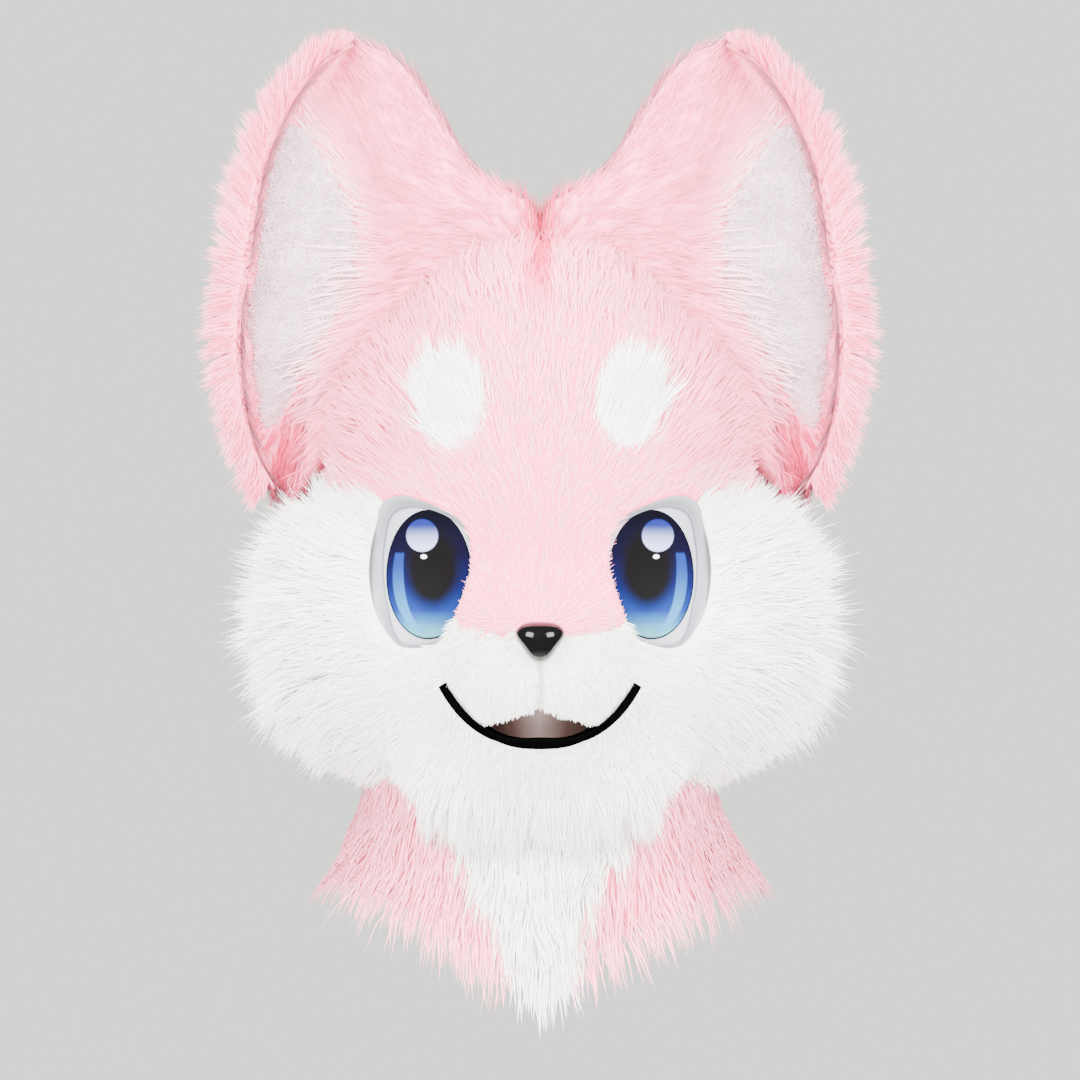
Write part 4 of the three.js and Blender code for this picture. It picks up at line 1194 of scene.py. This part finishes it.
def ear_parts(seed):
    """the fur and the plush of the ear for the wearer's left, as arrays"""
    shell = ear_shell()
    middle = centres(shell)
    cup = on_cup(middle, looks(shell))
    lining = shell.copy()
    cut_away(lining, ~cup)
    for vertex in lining.verts:
        vertex.co.y -= PLUSH_RISE
    cut_away(shell, cup | (foam(middle) < -BURIED))
    grown = coat(shell, EAR_TUFTS, rim_more, comb_ear, EAR_WIDE, seed)
    fur = [cloth(shell, 0.15), *grown, rim_coat(seed + 2)]
    nap = [cloth(lining, 0.0), *coat(lining, PLUSH_TUFTS, even, comb_plush, EAR_WIDE, seed + 1)]
    shell.free()
    lining.free()
    return fur, nap


fur, nap = ear_parts(seed=40)
for side, turn in (("left", lambda arrays: arrays), ("right", flipped_side)):
    panel(f"ear_fur_{side}_pile", [turn(a) for a in fur], PINK, [f"ear_fur_{side}"])
    panel(f"ear_plush_{side}_pile", [turn(a) for a in nap], PLUSH, [f"ear_plush_{side}"])

# %% [markdown]
# ## Neck and bib
# Below the head the fur goes on as a wide tube that hides the wearer's neck. It hangs from the head's foot,
# flares a little, and ends in a point in front, where a narrow white bib runs down it.

# %% The neck tube
NECK_TOP = FOOT_HEIGHT - 0.0005
NECK_FLARE = 0.024
NECK_SIDE_DROP = 0.066
NECK_POINT_DROP = 0.058
NECK_BACK_DROP = 0.018
NECK_INSET = 0.005
NECK_FOLDS = 7
NECK_FOLD_DEEP = 0.0025
NECK_FOLD_TURN = 3
NECK_LAP = 0.009
NECK_PILE = 0.024
NECK_LONGER = 0.008
NECK_TUFT_WIDE = 0.0011
FOOT_HALF = 0.1037
BIB_ROWS = [[0.11, 1.5], [0.145, 0.95], [0.29, 0.6], [0.49, 0.3], [0.69, -0.4]]
bib_drop = NECK_SIDE_DROP + NECK_POINT_DROP
bib_outline = both_sides([[half * FOOT_HALF, NECK_TOP - down * bib_drop] for half, down in BIB_ROWS])


def neck_place(around, down):
    """the tube from its top to its pointed hem, for shares round from the front and down"""
    turn = 2 * np.pi * around
    point = 1 - np.abs(np.sin(turn))
    drop = np.where(np.cos(turn) > 0, NECK_POINT_DROP * point**1.2, NECK_BACK_DROP * point)
    hem = NECK_TOP - NECK_SIDE_DROP - drop
    folds = NECK_FOLD_DEEP * down * np.sin(NECK_FOLDS * turn + NECK_FOLD_TURN * down)
    flare = NECK_FLARE * down**2 * (0.3 + 0.7 * np.abs(np.sin(turn))) - NECK_INSET + folds
    x = (NECK_WIDE + flare) * np.sin(turn)
    y = NECK_MIDDLE - (NECK_DEEP + flare) * np.cos(turn)
    top = NECK_TOP + NECK_LAP
    return np.column_stack([x, y, top + (hem - top) * down])


def from_axis(points):
    """the way out from the middle of the neck"""
    return (points - [0, NECK_MIDDLE, 0]) * [1, 1, 0]


def comb_neck(points, normals):
    """straight down and a little outward"""
    count = len(points)
    low = smooth_step(-0.33, -0.42, points[:, 2])
    fall = unit(from_axis(points)) * 0.25 - [0, 0, 1]
    return fall, NECK_PILE + NECK_LONGER * low, np.full(count, 0.3), np.full(count, 0.35), np.full(count, 0.2)


neck = bent_grid(120, 30, neck_place)
bmesh.ops.triangulate(neck, faces=neck.faces[:])
face_out(neck, from_axis)
middle = centres(neck)
white = within(middle[:, [0, 2]], bib_outline) & (middle[:, 1] < 0)
for name, finish, slot_name, keep, count in (
    ("neck_fur", PINK, "pink", ~white, 7100),
    ("bib_fur", WHITE, "white", white, 2200),
):
    sheet = neck.copy()
    cut_away(sheet, ~keep)
    grown = coat(sheet, count, even, comb_neck, NECK_TUFT_WIDE, seed=60)
    panel(f"{name}_pile", [cloth(sheet), *grown], finish, [name])
    sheet.free()
neck.free()

# %% [markdown]
# ## Eyes
# Each eye is a piece of printed mesh in a shallow socket. The wearer sees out through it, and from the front
# it looks like a big iris. A sloping pale rim stands between the mesh and the fur, widest towards the temple.
# The holes of the mesh are too fine to model, so a weave in the finish stands for them, and the print is
# drawn as ovals and a ramp.

# %% Plates that follow the face
def plate(outline, centre, layer, rings):
    """a disc that follows the face at a layer, filled from its centre to its outline"""

    def place(around, out):
        flat = centre + (along_line(ring(outline), around) - centre) * out[:, None]
        return on_face(flat[:, 0], flat[:, 1], layer)

    bm = bent_grid(len(outline), rings, place)
    face_out(bm)
    return bm


PANEL_TOP = -0.0048
RIM_OVER_PANEL = 0.0015
RIM_UNDER_FUR = 0.0006
WALL_NARROW = 0.0008
WALL_WIDE = 0.0045
WALL_TOP = 0.003
WALL_CREST = np.array([0.0022, 0.0055])


def sight_outline(count=OUTLINE_POINTS):
    """the part of the mesh panel that shows"""
    edge = eye_outline(0, count)
    away = unit(edge - EYE)
    inset = WALL_NARROW + (WALL_WIDE - WALL_NARROW) * wall_share(edge)
    inset = np.maximum(inset, WALL_TOP * smooth_step(0.5, 0.9, away[:, 1]))
    return edge - away * inset[:, None]


def iris_outline():
    """an oval, cut off where it would pass the sight opening's edge"""
    turn = np.linspace(0, 2 * np.pi, OUTLINE_POINTS, endpoint=False)
    oval = np.column_stack([np.cos(turn), np.sin(turn)]) * IRIS_SIZE / 2
    sight = sight_outline(400) - IRIS
    order = np.argsort(np.arctan2(sight[:, 1], sight[:, 0]))
    bearing = np.arctan2(sight[:, 1], sight[:, 0])[order]
    edge = np.linalg.norm(sight, axis=1)[order]
    limit = np.interp(np.arctan2(oval[:, 1], oval[:, 0]), bearing, edge, period=2 * np.pi)
    size = np.linalg.norm(oval, axis=1)
    return IRIS + oval * (np.minimum(size, limit) / size)[:, None]


def rim_place(around, out):
    """from the sight opening's edge, deep, to the fur's edge, with a rounded lip"""
    inner = along_line(ring(sight_edge), around)
    outer = along_line(ring(fur_edge), around)
    flat = inner + (outer - inner) * out[:, None]
    foot = PANEL_TOP + RIM_OVER_PANEL
    crest = WALL_CREST[0] + (WALL_CREST[1] - WALL_CREST[0]) * wall_share(outer)
    rise = foot + (crest - foot) * np.sin(out * np.pi / 2) ** 1.2
    return on_face(flat[:, 0], flat[:, 1], 0.0) + FORWARD * rise[:, None]


sight_edge = sight_outline()
fur_edge = socket_outline()
fur_edge = fur_edge + unit(fur_edge - EYE) * RIM_UNDER_FUR
print("sight opening", np.ptp(sight_edge, axis=0).round(4) * 1000, "mm, iris", IRIS_SIZE * 1000, "mm")


# %% Eye finishes
weave_tree, given, put = group(
    "cloth_weave", [("Scale", FLOAT, 900.0), ("Vector", VECTOR, None)], [("Height", FLOAT), ("Mask", FLOAT)]
)
spot = node(weave_tree, "ShaderNodeSeparateXYZ", {0: given["Vector"]})
waves = [
    maths(weave_tree, "SINE", maths(weave_tree, "MULTIPLY", spot.outputs[axis], given["Scale"]))
    for axis in (0, 2)
]
height = maths(weave_tree, "MULTIPLY", waves[0], waves[1])
weave_tree.links.new(height, put["Height"])
weave_tree.links.new(maths(weave_tree, "MULTIPLY_ADD", height, 0.5, 0.5), put["Mask"])


WEAVE_DEEP = 0.0002


def woven(tree, shader, scale, strength):
    """puts the weave on a material, and gives back its mask"""
    values = {"Scale": scale, "Vector": object_place(tree)}
    weave = node(tree, "ShaderNodeGroup", values, node_tree=weave_tree).outputs
    raised(tree, shader, weave["Height"], strength, WEAVE_DEEP)
    return weave["Mask"]


SCLERA, tree, shader = material("eye_mesh", rgb(0.33, 0.33, 0.38), Roughness=0.7, Specular_IOR_Level=0.2)
mask = woven(tree, shader, 5200, 0.3)
coloured(tree, shader, blended(tree, mask, rgb(0.30, 0.30, 0.36), rgb(0.37, 0.37, 0.41)))
RIM, tree, shader = material("eye_rim", rgb(0.25, 0.25, 0.28), Roughness=0.7, Specular_IOR_Level=0.2)
coloured(tree, shader, blended(tree, noise(tree, 60.0, 4.0), rgb(0.20, 0.20, 0.23), rgb(0.26, 0.26, 0.29)))
print("eye finishes:", SCLERA.name, RIM.name)

# %% The iris print
PRINT_STOPS = [
    (0.0, rgb(0.10, 0.25, 0.28)),
    (0.07, rgb(0.055, 0.19, 0.26)),
    (0.14, rgb(0.018, 0.085, 0.20)),
    (0.22, rgb(0.007, 0.022, 0.13)),
    (0.42, rgb(0.005, 0.007, 0.052)),
    (0.66, rgb(0.004, 0.003, 0.014)),
    (1.0, rgb(0.002, 0.002, 0.004)),
]
# Ovals of the print: across and up from the iris's middle, half width and half height
PUPIL = (-0.0025, 0.0035, 0.0160, 0.0235)
CRESCENT = (0, 0, 0.0225, 0.0365)
CRESCENT_CUT = (0, 0.004, 0.0157, 0.038)
OUTER_LINE = (0, 0, 0.0262, 0.0387)
HIGHLIGHT = (0.0039, 0.0238, 0.0100, 0.0100)
SPARK = (0.0029, 0.0108, 0.0020, 0.0014)


def printed_iris():
    """a print from near black to pale blue, with a dark pupil, a lighter crescent and a round highlight"""
    made, tree, shader = material("iris_print", rgb(0.01, 0.02, 0.12), Roughness=0.6, Specular_IOR_Level=0.02)
    mask = woven(tree, shader, 4200, 0.25)
    spot = node(tree, "ShaderNodeSeparateXYZ", {0: object_place(tree)})
    x = maths(tree, "SUBTRACT", maths(tree, "ABSOLUTE", spot.outputs[0]), float(IRIS[0]))
    z = maths(tree, "SUBTRACT", spot.outputs[2], float(IRIS[1]))

    def oval(across, up, wide, tall):
        """0 at the middle of an oval and 1 on it"""
        a = maths(tree, "DIVIDE", maths(tree, "SUBTRACT", x, across), wide)
        b = maths(tree, "DIVIDE", maths(tree, "SUBTRACT", z, up), tall)
        squares = [maths(tree, "MULTIPLY", value, value) for value in (a, b)]
        return maths(tree, "SQRT", maths(tree, "ADD", *squares))

    def ranged(value, low, high):
        values = {0: value, 1: low, 2: high}
        return node(tree, "ShaderNodeMapRange", values, interpolation_type="SMOOTHSTEP").outputs[0]

    def inside(shape, soft):
        """1 inside an oval of the print and 0 outside it"""
        return maths(tree, "SUBTRACT", 1.0, ranged(oval(*shape), 1 - soft, 1 + soft))

    ramp = node(tree, "ShaderNodeValToRGB", {0: maths(tree, "MULTIPLY_ADD", z, 1 / float(IRIS_SIZE[1]), 0.5)})
    ramp.color_ramp.elements[0].position, ramp.color_ramp.elements[0].color = PRINT_STOPS[0]
    ramp.color_ramp.elements[1].position, ramp.color_ramp.elements[1].color = PRINT_STOPS[-1]
    for position, colour in PRINT_STOPS[1:-1]:
        ramp.color_ramp.elements.new(position).color = colour
    colour = blended(tree, inside(PUPIL, 0.3), ramp.outputs["Color"], rgb(0.0045, 0.004, 0.004))
    crescent = maths(tree, "SUBTRACT", inside(CRESCENT, 0.03), inside(CRESCENT_CUT, 0.03))
    crescent = maths(tree, "MULTIPLY", crescent, ranged(x, -0.001, 0.003), clamp=True)
    crescent = maths(tree, "MULTIPLY", crescent, maths(tree, "SUBTRACT", 1.0, ranged(z, 0.012, 0.014)))
    glow = blended(tree, ranged(z, -0.032, 0.010), rgb(0.035, 0.16, 0.32), rgb(0.010, 0.028, 0.16))
    colour = blended(tree, maths(tree, "MULTIPLY", crescent, 0.9), colour, glow)
    colour = blended(tree, inside(OUTER_LINE, 0.012), rgb(0.003, 0.003, 0.008), colour)
    sky = blended(tree, ranged(z, 0.016, 0.031), rgb(0.33, 0.36, 0.58), rgb(0.010, 0.015, 0.12))
    colour = blended(tree, inside(HIGHLIGHT, 0.05), colour, sky)
    colour = blended(tree, inside(SPARK, 0.15), colour, rgb(0.7, 0.72, 0.8))
    weave = blended(tree, mask, rgb(0.55, 0.55, 0.60), rgb(1.3, 1.3, 1.3))
    coloured(tree, shader, blended(tree, 1.0, colour, weave, "MULTIPLY"))
    return made


IRIS_PRINT = printed_iris()
print("iris finish:", IRIS_PRINT.name, "with", len(PRINT_STOPS), "colours from bottom to top")

# %% Build the eyes
PANEL_TRIM = 0.0003
PANEL_THICK = 0.0012
IRIS_RISE = 0.0006
IRIS_THICK = 0.0005
RIM_THICK = 0.001


def put_on_both_sides(bm, name, finish, node_name, thick):
    """a sheet gets its thickness, and a mirrored copy on the other side"""
    bmesh.ops.solidify(bm, geom=bm.faces[:], thickness=thick)
    twin = bm.copy()
    bmesh.ops.scale(twin, vec=(-1, 1, 1), verts=twin.verts[:])
    bmesh.ops.reverse_faces(twin, faces=twin.faces[:])
    finished(f"{name}_left", mesh_of(bm, name), finish, [f"{node_name}_left"])
    finished(f"{name}_right", mesh_of(twin, name), finish, [f"{node_name}_right"])


sclera = plate(eye_outline(PANEL_TRIM), EYE, PANEL_TOP, 16)
put_on_both_sides(sclera, "eye_mesh", SCLERA, "eye_panel", PANEL_THICK)
iris = plate(iris_outline(), IRIS, PANEL_TOP + IRIS_RISE, 20)
put_on_both_sides(iris, "iris_print", IRIS_PRINT, "eye_iris", IRIS_THICK)
rim = bent_grid(OUTLINE_POINTS, 10, rim_place)
face_out(rim)
put_on_both_sides(rim, "eye_socket_rim", RIM, "eye_rim", RIM_THICK)

# %% [markdown]
# ## Nose and mouth
# The nose is cast resin, polished, so it is the only thing that shines. The lip is a strip of black felt,
# rolled over at its edges, and behind it the mouth is lined with thin mauve fabric that sinks in. All three
# are bent grids again: a dome over the nose's pattern, and two bands that follow the mouth's.

# %% Nose
NOSE_DEEP = 0.0135
NOSE_TOP = [[1, 0.42], [0.72, 0.86], [0, 1], [-0.72, 0.86], [-1, 0.42]]
NOSE_BOTTOM = [[-0.66, -0.4], [-0.26, -0.93], [0.26, -0.93], [0.66, -0.4]]
NOSE_PAD = [1.08, 1.12]
NOSE_SAG = 0.0008
NOSE_SINK = 0.003
NOSE_ROUND = 2.4
nose_shape = np.array(NOSE_TOP + NOSE_BOTTOM)
nose_outline = smooth_line(NOSE - [0, NOSE_SAG] + nose_shape * NOSE_SIZE * NOSE_PAD / 2, 96)
nose_seat = float(on_face([0.0], [NOSE[1]], PILE)[0, 1]) + NOSE_SINK


def nose_place(around, out):
    """a dome over the nose's outline"""
    share = np.sin(out * np.pi / 2)
    flat = NOSE + (along_line(ring(nose_outline), around) - NOSE) * share[:, None]
    dome = NOSE_DEEP * np.maximum(1 - share**NOSE_ROUND, 0) ** 0.5
    return np.column_stack([flat[:, 0], nose_seat - dome, flat[:, 1]])


nose = bent_grid(96, 24, nose_place)
bmesh.ops.holes_fill(nose, edges=[e for e in nose.edges if e.is_boundary], sides=0)
face_out(nose, lambda points: points - [0, nose_seat, NOSE[1]])
NOSE_BLACK = rgb(0.001, 0.001, 0.001)
GLOSS, tree, shader = material("polished_nose", NOSE_BLACK, Roughness=0.12, Specular_IOR_Level=0.35)
grain = noise(tree, 500.0, 3.0)
raised(tree, shader, grain, 0.08, 0.0003)
coloured(tree, shader, blended(tree, grain, rgb(0.001, 0.001, 0.001), rgb(0.003, 0.003, 0.003)))
finished("nose_polished", mesh_of(nose, "nose"), GLOSS, ["nose"])

# %% Lip and lining
LIP_FRONT = PILE - 0.001
LIP_ROLL = 0.003
LIP_TUCK = 0.004
LIP_DEEP = 0.005
LINING_DEEP = 0.020
LINING_RIPPLE = 0.0012
LINING_THICK = 0.0012
LAP_BELOW = 0.001
LAP_ABOVE = 0.0015


def mouth_across(across, share):
    """places over a share of the mouth's width, closer together at its corners"""
    return MOUTH_HALF * np.sin((across * 2 - 1) * np.pi / 2) * share


def lip_place(across, up):
    """a band rolled back at both edges and tucked in at its ends"""
    x = mouth_across(across, 0.995)
    z = lip_under(x) + (lip_over(x) - lip_under(x)) * up
    roll = LIP_ROLL * (1 - np.sqrt(np.maximum(1 - (2 * up - 1) ** 2, 0)))
    tucked = LIP_TUCK * smooth_step(0.8, 1, mouth_share(x))
    return on_face(x, z, LIP_FRONT) - (roll + tucked)[:, None] * FORWARD


def lining_place(across, up):
    """a sheet that sinks into the mouth, with shallow ripples"""
    x = mouth_across(across, 0.99)
    low, high = lip_under(x) + LAP_BELOW, muzzle_edge(x) + LAP_ABOVE
    sink = np.sin(across * np.pi) ** 0.5 * np.sin((0.12 + 0.88 * up) * np.pi * 0.62)
    ripple = LINING_RIPPLE * np.sin(across * 26) * np.sin(up * np.pi)
    return on_face(x, low + (high - low) * up, 0.0) - (LINING_DEEP * sink + ripple)[:, None] * FORWARD


LIP, tree, shader = material("black_felt", rgb(0.002, 0.002, 0.002), Roughness=0.9, Specular_IOR_Level=0.0)
felt = noise(tree, 900.0, 6.0, 0.7)
raised(tree, shader, felt, 0.5, 0.0004)
coloured(tree, shader, blended(tree, felt, rgb(0.0002, 0.0002, 0.0002), rgb(0.0012, 0.0012, 0.0012)))
MAUVE = rgb(0.07, 0.045, 0.04)
LINING, tree, shader = material("mauve_lining", MAUVE, Roughness=0.8, Specular_IOR_Level=0.15)
mask = woven(tree, shader, 3800, 0.3)
out = maths(tree, "ABSOLUTE", node(tree, "ShaderNodeSeparateXYZ", {0: object_place(tree)}).outputs[0])
# Lighter down the middle of the mouth: a painted highlight on the curved lining
centre = node(tree, "ShaderNodeMapRange", {0: out, 1: 0.016, 2: 0.0}).outputs[0]
shade = blended(tree, centre, rgb(0.10, 0.055, 0.05), rgb(0.26, 0.19, 0.18))
threads = blended(tree, mask, rgb(0.85, 0.85, 0.85), rgb(1.1, 1.1, 1.1))
coloured(tree, shader, blended(tree, 1.0, shade, threads, "MULTIPLY"))

lip = bent_grid(120, 10, lip_place)
lining = bent_grid(90, 24, lining_place)
for bm, thick, name, finish, slot_name, node_name in (
    (lip, LIP_DEEP, "lip_felt", LIP, "lip", "mouth_lip"),
    (lining, LINING_THICK, "mouth_lining_cloth", LINING, "lining", "mouth_lining"),
):
    face_out(bm)
    bmesh.ops.solidify(bm, geom=bm.faces[:], thickness=thick)
    finished(name, mesh_of(bm, slot_name), finish, [node_name])

# %% [markdown]
# ## Foam
# The carved foam keeps its measured shape. It shows only inside the neck, so it gets a foam finish: pale,
# matte and full of small open cells.

# %% Foam finish
FOAM, tree, shader = material("open_cell_foam", rgb(0.72, 0.65, 0.54), Roughness=0.95)
values = {"Vector": object_place(tree), "Scale": 700.0}
cells = node(tree, "ShaderNodeTexVoronoi", values).outputs["Distance"]
raised(tree, shader, cells, 0.6, 0.0006)
coloured(tree, shader, blended(tree, cells, rgb(0.42, 0.36, 0.28), rgb(0.78, 0.71, 0.60)))
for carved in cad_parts["head_base"].material_slots:
    carved.material = FOAM
print("foam finish on head_base")

# %% [markdown]
# ## Floor and light
# The picture is lit from all round, with hardly a shadow. A bright, even surround does most of that, and two
# large soft lights in front, one on each side, shape the muzzle and put the two highlights on the nose.

# %% The surround
BACKDROP = 1.55
SURROUND = 4.6
IN_REFLECTIONS = 0.15

world = bpy.data.worlds.new("studio")
bpy.context.scene.world = world
world.use_nodes = True
tree = world.node_tree
rays = node(tree, "ShaderNodeLightPath").outputs
strength = maths(tree, "MULTIPLY_ADD", rays["Is Camera Ray"], BACKDROP - SURROUND, SURROUND)
strength = maths(tree, "MULTIPLY_ADD", rays["Is Glossy Ray"], IN_REFLECTIONS - SURROUND, strength)
tree.nodes["Background"].inputs["Color"].default_value = rgb(0.97, 1.0, 0.95)
tree.links.new(strength, tree.nodes["Background"].inputs["Strength"])
print("surround at strength", SURROUND, "behind a backdrop at", BACKDROP)

# %% The floor, which fades into the surround
FLOOR_HEIGHT = -0.70
FLOOR_RADIUS = 3.0
FADE_FROM = 0.45
FADE_TO = 0.95

bm = bmesh.new()
middle = Matrix.Translation((0, 0, FLOOR_HEIGHT))
bmesh.ops.create_circle(bm, cap_ends=True, radius=FLOOR_RADIUS, segments=96, matrix=middle)
floor = in_scene("floor", mesh_of(bm, "floor"))
FLOOR, tree, shader = material("pale_floor", rgb(0.55, 0.56, 0.54), Roughness=0.9)
out = node(tree, "ShaderNodeVectorMath", {0: object_place(tree)}, operation="LENGTH").outputs["Value"]
spread = {0: out, 1: FADE_FROM, 2: FADE_TO}
fade = node(tree, "ShaderNodeMapRange", spread, interpolation_type="SMOOTHSTEP").outputs[0]
tree.links.new(maths(tree, "SUBTRACT", 1.0, fade), shader.inputs["Alpha"])
floor.data.materials.append(FLOOR)
print("floor at", FLOOR_HEIGHT, "m")

# %% Lights
LIGHT_AIM = np.array([0, 0, -0.15])
# Name, place, size in metres, watts, and whether it shows in the nose's gloss
LIGHTS = [
    ("key_left", (-1.1, -1.5, 0.75), 1.2, 135.0, True),
    ("key_right", (1.1, -1.5, 0.75), 1.2, 135.0, True),
    ("top", (0.0, 0.3, 1.6), 1.5, 70.0, False),
    ("back", (0.0, 1.8, 0.3), 1.5, 110.0, False),
    ("low", (0.0, -1.6, -0.6), 1.2, 45.0, False),
]
for name, at, size, power, mirrored_in_gloss in LIGHTS:
    lamp = bpy.data.lights.new(name, "AREA")
    lamp.size = size
    lamp.energy = power
    made = in_scene(name, lamp)
    made.location = at
    made.visible_glossy = mirrored_in_gloss
    made.rotation_euler = Vector(LIGHT_AIM - at).to_track_quat("-Z", "Y").to_euler()
print(len(LIGHTS), "lights")
